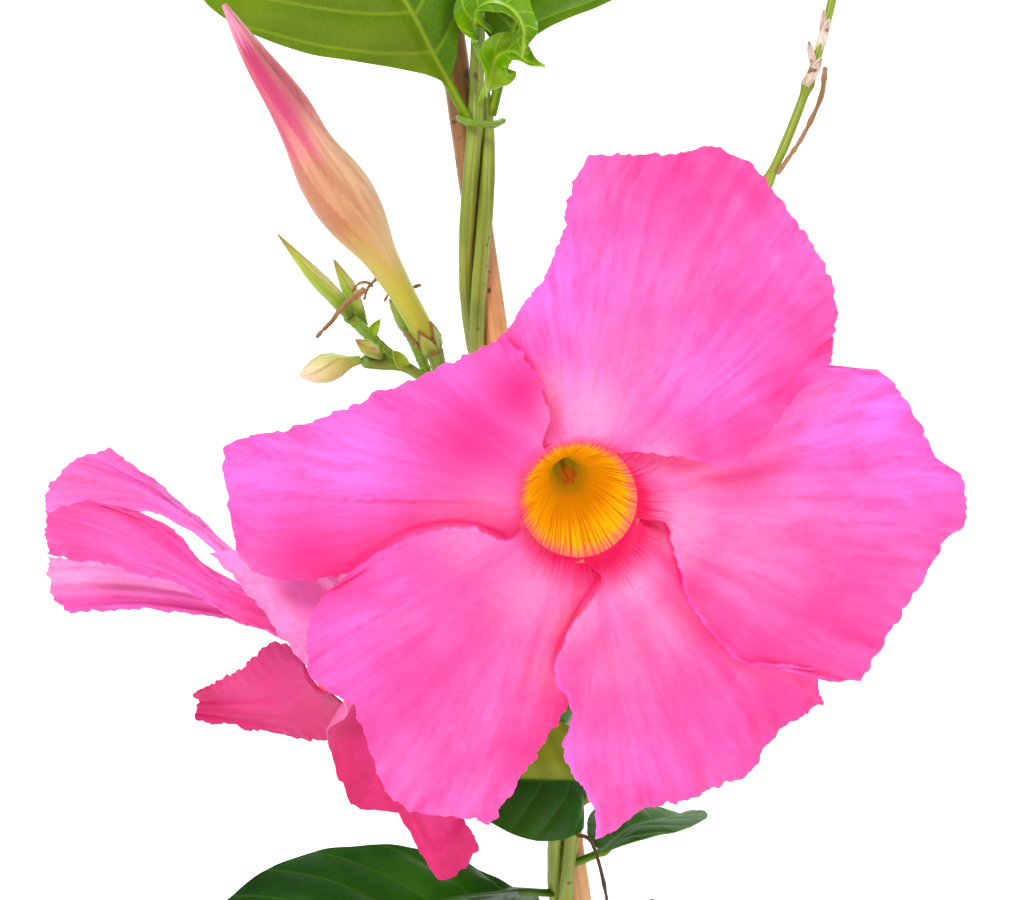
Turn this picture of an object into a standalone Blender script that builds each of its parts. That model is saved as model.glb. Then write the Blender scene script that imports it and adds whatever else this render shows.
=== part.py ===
# Potted mandevilla, a climbing plant twining up a cane, in flower and bud.
# Frame: +Z up, origin at the centre of the pot's underside, the open flower faces -Y.
# Every length below is in millimetres and is turned to metres where a mesh is made.

import math

import bmesh
import bpy
import numpy as np
from mathutils import Vector

MM = 0.001
GAP = 0.35            # clearance between pieces that touch on the real plant

# Pot and soil
POT_HEIGHT = 112.0
POT_FOOT_RADIUS = 45.0
POT_RIM_RADIUS = 65.0
POT_BAND_HEIGHT = 17.0
POT_WALL = 2.2
POT_FLOOR = 3.0
DRAIN_RADIUS = 4.0
DRAIN_CIRCLE = 29.0
DRAIN_COUNT = 6
SOIL_TOP = 101.0
SOIL_DOME = 2.0

# Cane and the two stems that twine round it
CANE_RADIUS = 2.45
CANE_FOOT = (14.0, 0.0, 20.0)
CANE_TOP = (-37.7, 0.0, 374.0)
STEM_RADIUS = 1.2
STEM_COIL = CANE_RADIUS + STEM_RADIUS + 0.3
STEM_REACH = STEM_RADIUS + GAP + 0.25    # from a stem's middle to the foot of what springs from it
TWINE_RATE = 3.45     # degrees of turn for each millimetre of height
TWINE_START = (323.0, -105.0)
STEM_B_LEAD = 44.0
STEM_FOOT = 90.0      # where the stems start, below the top of the soil
STEM_STEP = 5.5
STEM_A_UNTWINES = 341.0
STEM_A_TIP = ((-29.6, -5.6, 352), (-29.6, -6.2, 361), (-29.8, -6.4, 368.5))
STEM_B_TOP = 343.0

# Corolla of both flowers, measured back from the mouth of the throat
TUBE_LENGTH = 48.0
MOUTH_RADIUS = 9.0
TUBE_WALL = 0.7
TUBE_PROFILE = ((0.0, 9.0), (1.2, 8.3), (5.0, 7.5), (12.0, 6.7), (18.0, 5.6), (24.0, 3.9), (28.0, 2.8),
                (33.0, 2.3), (45.6, 2.2))
CALYX_PROFILE = ((0.0, 2.0), (2.65, 2.0), (2.75, 8.0), (3.3, 8.2), (3.2, 4.0), (2.3, 0.9), (1.3, 0.0),
                 (0.0, 0.0))
ANTHER_PROFILE = ((0.0, 31.0), (0.7, 29.8), (1.25, 26.5), (1.1, 24.2), (0.5, 23.0), (0.5, 2.5),
                  (0.0, 2.5))
PETAL_BASE_RADIUS = MOUTH_RADIUS + 0.7
PETAL_THICKNESS = 0.8
PETAL_GAP_DEG = 3.0
PETAL_TWIST = 3.1     # how far a petal's leading edge stands in front of its trailing edge
PETAL_TWIST_OVER = 1.5
PETAL_RECURVE = 4.0   # how far the tips bend back at TIP_REACH from the centre
TIP_REACH = 50.0
PETAL_ROWS = 7
PETAL_COLUMNS = 6

FLOWER_1_CENTRE = (-14.5, -70.0, 282.6)
FLOWER_1_AXIS = (0.05, -0.9985, -0.02)
FLOWER_2_CENTRE = (-51.9, -36.0, 255.8)
FLOWER_2_AXIS = (-0.797, -0.478, 0.372)

# The open flower's petals, clockwise from the top, in the plane of its mouth: x to the viewer's
# right and y up. "trail" is the edge that lies behind the neighbour, "lead" the one in front.
FLOWER_1_PETALS = {
    "petal_top": {
        "base": (128, 58),
        "trail": ((-8.5, 12), (-10.5, 19.5), (-9.5, 24.5), (-5.5, 30), (-2.5, 36), (-1, 43), (1.5, 48)),
        "tip": ((1.5, 48), (8, 48), (19, 49), (24, 46.5), (30, 39), (34.5, 32), (35.5, 25.5),
                (34.5, 19)),
        "lead": ((8.5, 7.5), (15.5, 6.5), (20.5, 5.5), (25, 9), (30.5, 15.5), (34.5, 19)),
    },
    "petal_right": {
        "base": (58, -14),
        "trail": ((10, 8.5), (19.5, 13.5), (30.5, 18.5), (39, 18)),
        "tip": ((39, 18), (44, 17), (49, 10.5), (51.5, 5.5), (56.3, 0), (53.5, -7.5), (48, -15.5),
                (40.5, -26), (36.5, -26.5), (33.5, -24.5)),
        "lead": ((12, -2.5), (13.5, -7.5), (15.5, -14), (20, -20), (28.5, -23.5), (33.5, -24.5)),
    },
    "petal_lower_right": {
        "base": (-14, -82),
        "trail": ((13.5, -2.5), (22, -10.5), (31, -18.5), (36.5, -31.5)),
        "tip": ((36.5, -31.5), (28.5, -36), (22, -42), (13.5, -44), (7.5, -46.5), (3, -49.5)),
        "lead": ((3, -11), (-1.5, -18), (-3.5, -24), (-1, -29.5), (-2, -36.5), (2, -43.5), (3, -49.5)),
    },
    "petal_lower_left": {
        "base": (-82, -152),
        "trail": ((4.5, -13.5), (4, -20.5), (0, -28.5), (-5.5, -37.5), (-12.5, -49.5)),
        "tip": ((-12.5, -49.5), (-23.5, -46.5), (-27.5, -42), (-31, -32), (-37, -26), (-38.5, -21.5),
                (-37, -14.5), (-32.5, -9.5)),
        "lead": ((-10.5, -5), (-14, -3.5), (-18, -3), (-23, -4), (-32.5, -9.5)),
    },
    "petal_left": {
        "base": (208, 128),
        "trail": ((-11, -6), (-21, -8.5), (-34, -11), (-40, -11.8), (-45, -11.2), (-48, -9.5)),
        "tip": ((-48, -9.5), (-49.3, -3), (-50, 5), (-48.5, 8), (-39, 10.5), (-25, 16.5), (-15.5, 21),
                (-11, 23.5)),
        "lead": ((-4.6, 10.6), (-5, 14.5), (-7, 19.5), (-11, 23.5)),
    },
}

# The older flower behind: its petals have folded to the side, so each outline is given in space.
FLOWER_2_PETALS = {
    "petal_upper": {
        "base": (150, 82),
        "trail": ((-58.1, -30, 261.9), (-68.3, -28, 266.8), (-79.5, -28, 277.5), (-88, -30, 284.5)),
        "tip": ((-88, -30, 284.5), (-93, -30, 282.8), (-96.8, -31, 279.2), (-97.7, -32, 276.2),
                (-96.9, -33, 273)),
        "lead": ((-59.5, -32, 261.1), (-68.5, -31.5, 266.5), (-74.2, -31, 271.2), (-81.4, -31, 274.4),
                 (-89.2, -32, 274.4), (-96.9, -33, 273)),
    },
    "petal_near": {
        "base": (78, 10),
        "trail": ((-57.4, -41, 262.5), (-65.9, -45, 264.9), (-70.1, -47, 268.4), (-73.5, -47, 272.7),
                  (-77.4, -46, 275.8), (-82.8, -45, 277.6)),
        "tip": ((-82.8, -45, 277.6), (-89.1, -44, 278.2), (-94.6, -42, 276.5), (-95.8, -41, 273.5),
                (-95.8, -40, 269.7)),
        "lead": ((-58.4, -44, 257.9), (-67.4, -44, 260.9), (-74.3, -43, 264.8), (-82.2, -41.5, 267.3),
                 (-95.8, -40, 269.7)),
    },
    "petal_front": {
        "base": (6, -62),
        "trail": ((-49.3, -46, 268.6), (-55.6, -52, 272), (-62.1, -54, 273.1), (-68.5, -54, 272.3)),
        "tip": ((-68.5, -54, 272.3), (-61.8, -57, 265.9), (-55.9, -58.5, 258.4), (-48.6, -57.5, 250),
                (-51.5, -52, 243.6), (-48.6, -48, 232.5), (-41.5, -46, 229.5), (-35.1, -45, 219),
                (-29, -45, 223.5)),
        "lead": ((-45.5, -42.5, 246.5), (-36.5, -46, 238.5), (-29, -45, 223.5)),
    },
    "petal_drooping": {
        "base": (-66, -134),
        "trail": ((-50.5, -36, 243.5), (-54.5, -29, 237), (-66.5, -21, 236.5), (-77.5, -15, 236.5)),
        "tip": ((-77.5, -15, 236.5), (-76.7, -15, 239), (-77.4, -15.5, 241)),
        "lead": ((-58.3, -31, 252), (-63.3, -28, 252.4), (-68, -24.5, 247.5), (-77.4, -15.5, 241)),
    },
    "petal_far": {
        "base": (222, 154),
        "trail": ((-59, -28, 252.5), (-68.7, -28, 256.3), (-82.1, -29, 258.5), (-95.1, -30, 258.2)),
        "tip": ((-95.1, -30, 258.2), (-96.8, -30, 260.1), (-98.1, -29, 263.2), (-98.3, -28, 266.3)),
        "lead": ((-58.8, -26, 256.5), (-67.9, -27, 260.3), (-75.9, -27, 263.6), (-88.7, -27, 266.1),
                 (-98.3, -28, 266.3)),
    },
}

# Leaves: the stem and height a leaf springs from (or a point on a shoot), then its midrib to the
# tip, half width, fold of the two halves in degrees, the way its upper face looks, the share of its
# length that is petiole, and how wedge-shaped its base is (1.2 when not given).
LEAVES = {
    "leaf_top_left": {
        "from": ("a", 335.5), "half": 28, "wedge": 1.6, "fold": 7, "face": (0.2, -0.93, 0.3),
        "petiole": 0.09,
        "line": ((-36.4, -10.5, 346), (-42.6, -15.5, 357), (-54, -21, 374), (-69, -26, 388),
                 (-85, -28, 395)),
    },
    "leaf_top_right": {
        "from": ("b", 337), "half": 24, "fold": 9, "face": (-0.3, -0.85, 0.4), "petiole": 0.12,
        "line": ((-25.2, -1, 346), (-21.5, 2.5, 357), (-13, 8, 375), (-1, 12, 391), (12, 13, 400)),
    },
    "leaf_middle_right": {
        "from": ("a", 250), "half": 24, "fold": 12, "face": (0.1, -0.3, 0.95), "petiole": 0.14,
        "line": ((-7, 10, 259), (4, 24, 266), (17, 42, 267), (30, 58, 259), (38, 70, 246)),
    },
    "leaf_middle_left": {
        "from": ("b", 249), "half": 23, "fold": 12, "face": (-0.1, -0.3, 0.95), "petiole": 0.16,
        "line": ((-29, 12, 257), (-38, 27, 264), (-46, 46, 264), (-52, 62, 255), (-57, 73, 242)),
    },
    "leaf_behind_petals": {
        "from": ("a", 219), "half": 10.5, "fold": 10, "face": (0.05, -0.9, 0.45), "petiole": 0.2,
        "line": ((-11.8, -12.5, 221.5), (-12.2, -18, 226.3), (-17.5, -22.3, 228.2), (-27, -23.5, 228.6),
                 (-38, -22, 227)),
    },
    "leaf_lower_right": {
        "from": ("b", 207.5), "half": 10, "fold": 13, "face": (0.0, 0.0, 1.0), "petiole": 0.12,
        "line": ((-8.4, -2.4, 209), (-5.6, 2, 209.8), (-2.1, 6, 210.6), (3, 10, 210.8), (6.4, 15, 210.4),
                 (7.6, 22, 208.8)),
    },
    "leaf_lower_left": {
        "from": ("a", 201.5), "half": 19, "fold": 10, "face": (-0.1, -0.5, 0.85), "petiole": 0.1,
        "line": ((-26, -12, 205), (-41, -20, 205), (-59, -27, 199), (-75, -33, 188), (-88, -37, 174)),
    },
    "leaf_pot_back_right": {
        "from": ("a", 166), "half": 24, "fold": 12, "face": (0.2, 0.2, 0.95), "petiole": 0.12,
        "line": ((-2, 12, 174), (8, 22, 180), (23, 36, 177), (37, 49, 164), (46, 58, 145)),
    },
    "leaf_pot_back_left": {
        "from": ("b", 170), "half": 24, "fold": 12, "face": (-0.2, 0.2, 0.95), "petiole": 0.12,
        "line": ((-19, 9, 178), (-29, 20, 184), (-43, 35, 180), (-55, 49, 166), (-62, 58, 147)),
    },
    "leaf_pot_front_right": {
        "from": ("a", 139), "half": 24, "fold": 12, "face": (0.2, -0.2, 0.95), "petiole": 0.12,
        "line": ((6, -9, 149), (16, -20, 156), (30, -35, 154), (43, -49, 143), (52, -58, 126)),
    },
    "leaf_pot_front_left": {
        "from": ("a", 118), "half": 23, "fold": 12, "face": (-0.2, -0.2, 0.95), "petiole": 0.12,
        "line": ((-6, -12, 128), (-16, -22, 134), (-31, -36, 134), (-45, -49, 125), (-54, -58, 119)),
    },
    "young_leaf_front": {
        "from": (-29.5, -6.4, 346.6), "half": 4.6, "fold": 35, "face": (0.3, -0.75, 0.6), "petiole": 0.12,
        "line": ((-30.4, -12, 351), (-28.2, -15, 354.6), (-24.6, -16, 354), (-22.4, -15, 350.8),
                 (-22.4, -14, 346.2)),
    },
    "young_leaf_right": {
        "from": ("a", 339), "half": 4.4, "fold": 45, "face": (0.5, -0.8, 0.3), "petiole": 0.12,
        "line": ((-27.9, -9.5, 342.5), (-26.9, -11.2, 346.2), (-24, -11.4, 347.2), (-21.5, -11.2, 345.6),
                 (-18.6, -11, 345)),
    },
    "young_leaf_tip": {
        "from": (-29.9, -6.5, 369.3), "half": 3.4, "fold": 40, "face": (0.3, -0.8, 0.5), "petiole": 0.1,
        "line": ((-30, -8, 374), (-29, -9, 380), (-26, -10, 386)),
    },
    "vine_leaf_left": {
        "from": (27.5, -11.0, 384.5), "half": 4.0, "fold": 35, "face": (0.0, -0.6, 0.8), "petiole": 0.1,
        "line": ((23, -11, 388), (17, -11, 391), (11, -12, 388)),
    },
    "vine_leaf_right": {
        "from": (31.2, -11.0, 384.5), "half": 4.0, "fold": 35, "face": (0.0, -0.6, 0.8), "petiole": 0.1,
        "line": ((35, -11, 389), (39, -10, 393), (44, -9, 392)),
    },
}
LEAF_THICKNESS = 0.8
LEAF_ROWS = 11
YOUNG_LEAF_THICKNESS = 0.6
YOUNG_LEAF_ROWS = 7
LEAF_COLUMNS = 4
PETIOLE_HALF = 0.75

# Flower stalks: a stem of the cluster and its side stalks, as (points, radius at each end). The
# first stalk starts on a stem; a stalk that ends in a calyx names it last.
CLUSTER_1_STALKS = (
    ((("a", 246.5), (-19.0, -8.5, 256), (-25.5, -13.5, 266), (-29.5, -19, 279), (-34.5, -25, 291),
      (-40, -28.5, 297), (-45.0, -30, 298.3), (-48.0, -30.4, 298.6)), (1.25, 0.85)),
    (((-31.5, -21.5, 284), (-28.5, -20.5, 288), (-23, -20.0, 287), ("calyx", "flower_1")), (1.1, 1.2)),
    (((-34.5, -25, 291), (-35.0, -27.6, 294.5), ("calyx", "large_bud")), (1.0, 1.2)),
    (((-41.5, -29.0, 297.6), (-45, -29.5, 301), (-49.0, -29.5, 305.0)), (0.95, 0.8)),
    (((-36.5, -26.5, 293.5), (-38.2, -26.6, 298), (-40.0, -26.2, 302.2)), (0.85, 0.9)),
)
CLUSTER_2_STALKS = (
    ((("a", 231.0), (-13.5, -8.0, 234.0), ("calyx", "flower_2")), (1.15, 1.15)),
)

# Buds and small turned pieces: profile of (radius, height) from the top down, foot, direction
BUD_PROFILE = ((0.0, 60.0), (0.45, 59.0), (1.1, 54.0), (1.9, 46.0), (2.7, 38.5), (3.3, 36.0),
               (4.6, 31.0), (5.2, 26.5), (4.7, 21.0), (3.4, 15.5), (2.4, 11.0), (1.9, 6.0), (1.8, 0.4),
               (0.0, 0.4))
BUD_FOOT = (-37.8, -31.1, 302.8)
BUD_AXIS = (-0.463, -0.279, 0.841)
BUD_CALYX_DEPTH = 3.4
BUD_CALYX_PROFILE = ((0.0, 3.4), (2.05, 3.4), (2.1, 7.5), (2.6, 7.6), (2.6, 5.0), (2.0, 1.5),
                     (1.3, 0.0), (0.0, 0.0))
SMALL_BUDS = {
    "small_bud_pointed": (
        (-49.5, -29.8, 305.6), (-0.62, -0.17, 0.77),
        ((0.0, 17.0), (0.5, 15.0), (1.3, 10.5), (1.5, 8.0), (1.9, 5.0), (1.7, 2.0), (0.9, 0.0),
         (0.0, 0.0)),
    ),
    "small_bud_green": (
        (-47.3, -28.2, 303.9), (-0.42, 0.1, 0.9),
        ((0.0, 11.0), (0.5, 9.5), (1.25, 6.0), (1.1, 3.5), (0.5, 0.0), (0.0, 0.0)),
    ),
    "small_bud_round": (
        (-48.5, -30.5, 298.7), (-0.93, -0.22, -0.22),
        ((0.0, 9.6), (0.6, 9.0), (2.0, 7.6), (3.0, 5.4), (2.6, 3.0), (1.4, 1.2), (0.9, 0.0),
         (0.0, 0.0)),
    ),
    "small_bud_lower": (
        (-44.6, -31.3, 299.3), (-0.6, -0.6, 0.5),
        ((0.0, 6.0), (0.6, 5.0), (1.3, 3.0), (1.0, 1.0), (0.5, 0.0), (0.0, 0.0)),
    ),
    "spent_calyx": (
        (-40.25, -26.15, 302.8), (-0.42, 0.02, 0.9),
        ((0.0, 5.8), (0.9, 6.2), (1.35, 4.0), (1.5, 2.0), (1.0, 0.0), (0.0, 0.0)),
    ),
}

# The free shoot on the right, and the dry threads caught on the plant
VINE_LINE = (("b", 257), (-14.5, 8.5, 266), (-7, 6.5, 280), (3.5, -5, 303), (11, -15, 317),
             (17, -22, 327), (23, -20.5, 341.5), (27, -18, 355), (30, -14.5, 371), (29.6, -11.2, 384),
             (28.8, -10.2, 393))
VINE_RADII = (1.15, 0.55)
THREADS = {
    "dry_pedicel": (
        ((18.1, -23.6, 327.6), (21.6, -23.8, 333.0), (24.6, -23.2, 339),
         (25.6, -22.4, 344.5)), (0.4, 0.5),
    ),
    "withered_style": (
        ((-54.4, -34.6, 302.6), (-52.0, -33.4, 305.2), (-50.0, -32.6, 307.7),
         (-46.8, -32.0, 310.0)), (0.45, 0.75),
    ),
    "dry_leaf_stalk": (
        (("b", 213), (-10.2, -7.4, 212.5), (-8.2, -8.2, 206), (-6.8, -8.6, 196),
         (-6.6, -8.8, 186)), (0.5, 0.45),
    ),
}

COLOURS = {
    "clay_plastic": (0.36, 0.13, 0.06),
    "potting_soil": (0.035, 0.022, 0.014),
    "cane_wood": (0.34, 0.16, 0.07),
    "stem_green": (0.16, 0.22, 0.03),
    "leaf_green": (0.03, 0.12, 0.01),
    "young_leaf": (0.25, 0.42, 0.03),
    "petal_pink": (0.9, 0.08, 0.42),
    "petal_faded": (0.72, 0.1, 0.34),
    "throat_yellow": (0.9, 0.42, 0.01),
    "anther_tan": (0.65, 0.28, 0.04),
    "calyx_green": (0.22, 0.34, 0.05),
    "bud_blush": (0.75, 0.42, 0.22),
    "dry_brown": (0.35, 0.16, 0.08),
}


def material(name):
    found = bpy.data.materials.get(name)
    if found:
        return found
    made = bpy.data.materials.new(name)
    made.use_nodes = True
    shader = made.node_tree.nodes["Principled BSDF"]
    shader.inputs["Base Color"].default_value = (*COLOURS[name], 1.0)
    shader.inputs["Roughness"].default_value = 0.9 if name == "potting_soil" else 0.45
    shader.inputs["Metallic"].default_value = 0.0
    return made


def new_object(name, data, material_name, collection):
    made = bpy.data.objects.new(name, data)
    made.data.materials.append(material(material_name))
    collection.objects.link(made)
    return made


def smooth_line(points, count):
    """count points evenly along a Catmull-Rom curve through the given points."""
    given = np.array(points, float)
    if len(given) == 2:
        share = np.linspace(0.0, 1.0, count)[:, None]
        return given[0] * (1.0 - share) + given[1] * share
    padded = np.vstack([2 * given[0] - given[1], given, 2 * given[-1] - given[-2]])
    fine = []
    for i in range(len(given) - 1):
        p0, p1, p2, p3 = padded[i:i + 4]
        u = np.linspace(0.0, 1.0, 17)[:-1, None]
        fine.append(0.5 * (2 * p1 + (p2 - p0) * u + (2 * p0 - 5 * p1 + 4 * p2 - p3) * u ** 2
                           + (3 * p1 - p0 - 3 * p2 + p3) * u ** 3))
    fine = np.vstack(fine + [given[-1:]])
    along = np.concatenate([[0.0], np.cumsum(np.linalg.norm(np.diff(fine, axis=0), axis=1))])
    wanted = np.linspace(0.0, along[-1], count)
    return np.stack([np.interp(wanted, along, fine[:, k]) for k in range(given.shape[1])], axis=1)


def tube_curve(name, points, radii, material_name, collection):
    """A round stalk: a polyline curve with a bevel, its radius running from radii[0] to radii[1]."""
    curve = bpy.data.curves.new(name, "CURVE")
    curve.dimensions = "3D"
    curve.bevel_depth = MM
    curve.bevel_resolution = 2
    curve.use_fill_caps = True
    spline = curve.splines.new("POLY")
    spline.points.add(len(points) - 1)
    for i, point in enumerate(points):
        share = i / (len(points) - 1)
        spline.points[i].co = (*(float(c) * MM for c in point), 1.0)
        spline.points[i].radius = radii[0] * (1.0 - share) + radii[1] * share
    return new_object(name, curve, material_name, collection)


def meshed(obj, collection):
    """The curve object as a mesh object with its caps welded; the curve is removed."""
    bpy.context.view_layer.update()
    graph = bpy.context.evaluated_depsgraph_get()
    mesh = bpy.data.meshes.new_from_object(obj.evaluated_get(graph))
    work = bmesh.new()
    work.from_mesh(mesh)
    bmesh.ops.remove_doubles(work, verts=work.verts, dist=0.01 * MM)
    work.to_mesh(mesh)
    work.free()
    name = obj.name
    made = bpy.data.objects.new(name + "_mesh", mesh)
    made.matrix_world = obj.matrix_world
    collection.objects.link(made)
    bpy.data.objects.remove(obj)
    made.name = name
    return made


def helper(obj):
    obj.hide_render = True
    obj.display_type = "WIRE"
    return obj


def boolean(target, other, operation):
    modifier = target.modifiers.new(operation.lower(), "BOOLEAN")
    modifier.operation = operation
    modifier.object = other
    modifier.solver = "EXACT"


def calyx_foot(which):
    """Underside of the named calyx and the direction it points."""
    if which == "large_bud":
        outward = Vector(BUD_AXIS).normalized()
        return Vector(BUD_FOOT) - outward * BUD_CALYX_DEPTH, outward
    flowers = {"flower_1": (FLOWER_1_CENTRE, FLOWER_1_AXIS), "flower_2": (FLOWER_2_CENTRE, FLOWER_2_AXIS)}
    centre, axis = flowers[which]
    outward = Vector(axis).normalized()
    return Vector(centre) - outward * TUBE_LENGTH, outward


def on_stem(where, toward, reach):
    """Point at distance reach from the middle of stem a or b at a height, on the side of toward."""
    lead = {"a": 0.0, "b": STEM_B_LEAD}[where[0]]
    middle = twined(where[1], lead)
    along = (twined(where[1] + 1.0, lead) - twined(where[1] - 1.0, lead)).normalized()
    aside = Vector(toward) - middle
    return middle + (aside - along * aside.dot(along)).normalized() * reach


def resolved(points, reach):
    """The points with the marks for a stem and for a calyx turned to positions."""
    fixed = [Vector(p) if not isinstance(p[0], str) else p for p in points]
    if isinstance(fixed[0][0], str):
        fixed[0] = on_stem(fixed[0], fixed[1], reach)
    if isinstance(fixed[-1][0], str):
        foot, outward = calyx_foot(fixed[-1][1])
        fixed[-1:] = [foot - outward * (GAP + 1.2), foot - outward * GAP]
    return [tuple(p) for p in fixed]


def stalk_cluster(name, stalks, plant, cutters):
    """A flower stem with its side stalks, joined in one solid."""
    whole = None
    for i, (marked, radii) in enumerate(stalks):
        line = resolved(marked, STEM_REACH)
        count = 3 * len(line) - 2
        home = cutters if i else plant
        label = f"{name}_branch_{i}" if i else name
        stalk = meshed(tube_curve(label, smooth_line(line, count), radii, "stem_green", home), home)
        if whole is None:
            whole = stalk
        else:
            boolean(whole, helper(stalk), "UNION")
    return whole


def turned(name, profile, foot, direction, material_name, collection, steps=14, closed_ring=False):
    """A turned piece: the (radius, height) profile, run down its outer side, spun about the height
    axis, then stood at foot along direction."""
    mesh = bpy.data.meshes.new(name)
    work = bmesh.new()
    verts = [work.verts.new((radius * MM, 0.0, height * MM)) for radius, height in profile]
    for a, b in zip(verts, verts[1:] + (verts[:1] if closed_ring else [])):
        work.edges.new((a, b))
    work.to_mesh(mesh)
    work.free()
    made = new_object(name, mesh, material_name, collection)
    screw = made.modifiers.new("turn", "SCREW")
    screw.axis = "Z"
    screw.steps = steps
    screw.render_steps = steps
    screw.use_merge_vertices = True
    screw.merge_threshold = 0.01 * MM
    turn = Vector((0, 0, 1)).rotation_difference(Vector(direction))
    made.rotation_mode = "QUATERNION"
    made.rotation_quaternion = turn
    made.location = Vector(foot) * MM
    return made


def sheet(name, rows, columns, place, thickness, material_name, collection):
    """A thin sheet: a flat grid whose points (s, t), each from 0 to 1, are moved to place(s, t)."""
    work = bmesh.new()
    bmesh.ops.create_grid(work, x_segments=rows, y_segments=columns, size=0.5)
    for vert in work.verts:
        vert.co = Vector(place(vert.co.x + 0.5, vert.co.y + 0.5)) * MM
    mesh = bpy.data.meshes.new(name)
    work.to_mesh(mesh)
    work.free()
    mesh.shade_smooth()
    made = new_object(name, mesh, material_name, collection)
    wall = made.modifiers.new("thickness", "SOLIDIFY")
    wall.thickness = thickness * MM
    wall.offset = 0.0
    return made


def flower_frame(axis):
    """The viewer's right, the viewer's up, and the outward axis of a flower seen from its front."""
    outward = Vector(axis).normalized()
    right = Vector((0, 0, 1)).cross(outward).normalized()
    return right, outward.cross(right), outward


def edge_reader(points):
    fine = smooth_line(points, 33)
    share = np.linspace(0.0, 1.0, len(fine))
    return lambda s: np.array([np.interp(s, share, fine[:, k]) for k in range(fine.shape[1])])


def coons_patch(base, trail, lead, tip):
    """Blends four boundary curves to a surface: s runs from the base to the tip, t from the
    trailing edge to the leading edge."""
    corners = base(0.0), base(1.0), tip(0.0), tip(1.0)

    def point(s, t):
        ruled_s = (1 - s) * base(t) + s * tip(t)
        ruled_t = (1 - t) * trail(s) + t * lead(s)
        bilinear = ((1 - s) * ((1 - t) * corners[0] + t * corners[1])
                    + s * ((1 - t) * corners[2] + t * corners[3]))
        return ruled_s + ruled_t - bilinear

    return point


def base_arc(angles):
    """t from 0 to 1 along the petal's foot on the mouth of the throat, in the flower's plane."""
    start, end = angles[0] - PETAL_GAP_DEG, angles[1] + PETAL_GAP_DEG

    def point(t):
        angle = math.radians(start + (end - start) * t)
        return np.array([math.cos(angle), math.sin(angle)]) * PETAL_BASE_RADIUS

    return point


def open_petal(spec):
    """Surface of one petal of the open flower: flat outline, tilted like a propeller blade so that
    its leading edge lies over the next petal, and bent back towards the tip."""
    base = base_arc(spec["base"])
    patch = coons_patch(base, edge_reader((tuple(base(0.0)), *spec["trail"])),
                        edge_reader((tuple(base(1.0)), *spec["lead"])), edge_reader(spec["tip"]))
    right, up, outward = flower_frame(FLOWER_1_AXIS)
    centre = Vector(FLOWER_1_CENTRE)

    def place(s, t):
        x, y = patch(s, t)
        reach = math.hypot(x, y)
        grown = 1.0 - math.exp(-max(reach - PETAL_BASE_RADIUS, 0.0) / PETAL_TWIST_OVER)
        height = PETAL_TWIST * (2 * t - 1) * grown - PETAL_RECURVE * (reach / TIP_REACH) ** 2
        return centre + right * x + up * y + outward * height

    return place


def folded_petal(spec):
    """Surface of one petal of the older flower, from its outline in space."""
    right, up, outward = flower_frame(FLOWER_2_AXIS)
    centre = Vector(FLOWER_2_CENTRE)
    arc = base_arc(spec["base"])

    def base(t):
        x, y = arc(t)
        return np.array(centre + right * x + up * y)

    patch = coons_patch(base, edge_reader((tuple(base(0.0)), *spec["trail"])),
                        edge_reader((tuple(base(1.0)), *spec["lead"])), edge_reader(spec["tip"]))
    return lambda s, t: Vector(patch(s, t))


def flower(number, petals, surface, petal_material, plant):
    """Calyx, corolla tube, anther cone and five petals."""
    foot, outward = calyx_foot(f"flower_{number}")
    turned(f"flower_{number}_calyx", CALYX_PROFILE, foot, outward, "calyx_green", plant)
    outer = [(radius, TUBE_LENGTH - back) for back, radius in TUBE_PROFILE]
    inner = [(radius - TUBE_WALL, height) for radius, height in reversed(outer)]
    turned(f"flower_{number}_corolla_tube", outer + inner, foot, outward, "throat_yellow", plant, 16,
           closed_ring=True)
    turned(f"flower_{number}_anther_cone", ANTHER_PROFILE, foot, outward, "anther_tan", plant, 8)
    for name, spec in petals.items():
        sheet(f"flower_{number}_{name}", PETAL_ROWS, PETAL_COLUMNS, surface(spec), PETAL_THICKNESS,
              petal_material, plant)


def leaf_half_width(share, spec):
    """Half width along the leaf: the petiole, then an oval blade drawn out to a point."""
    stalk = spec["petiole"]
    if share <= stalk:
        return PETIOLE_HALF
    blade = (share - stalk) / (1.0 - stalk)
    oval = math.sin(math.pi * blade ** 0.9) ** spec.get("wedge", 1.2) if 0.0 < blade < 1.0 else 0.0
    return max(PETIOLE_HALF * (1.0 - 0.5 * blade), spec["half"] * oval)


def leaf_surface(spec):
    """Surface of a leaf: across the midrib, both halves are lifted by the fold angle."""
    line = smooth_line(resolved((spec["from"], *spec["line"]), STEM_REACH), 45)
    shares = np.linspace(0.0, 1.0, len(line))
    fold = math.radians(spec["fold"])

    def place(s, t):
        here = Vector([np.interp(s, shares, line[:, k]) for k in range(3)])
        ahead = Vector([np.interp(min(s + 0.03, 1.0), shares, line[:, k]) for k in range(3)])
        behind = Vector([np.interp(max(s - 0.03, 0.0), shares, line[:, k]) for k in range(3)])
        along = (ahead - behind).normalized()
        side = along.cross(Vector(spec["face"])).normalized()
        normal = side.cross(along)
        out = (2 * t - 1) * leaf_half_width(s, spec)
        return here + side * out * math.cos(fold) + normal * abs(out) * math.sin(fold)

    return place


def leaves(plant):
    for name, spec in LEAVES.items():
        young = name.startswith(("young", "vine"))
        rows, thickness = (YOUNG_LEAF_ROWS, YOUNG_LEAF_THICKNESS) if young else (LEAF_ROWS, LEAF_THICKNESS)
        material = "young_leaf" if young else "leaf_green"
        sheet(name, rows, LEAF_COLUMNS, leaf_surface(spec), thickness, material, plant)


def cane_centre(height):
    foot, top = Vector(CANE_FOOT), Vector(CANE_TOP)
    return foot.lerp(top, (height - foot.z) / (top.z - foot.z))


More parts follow.
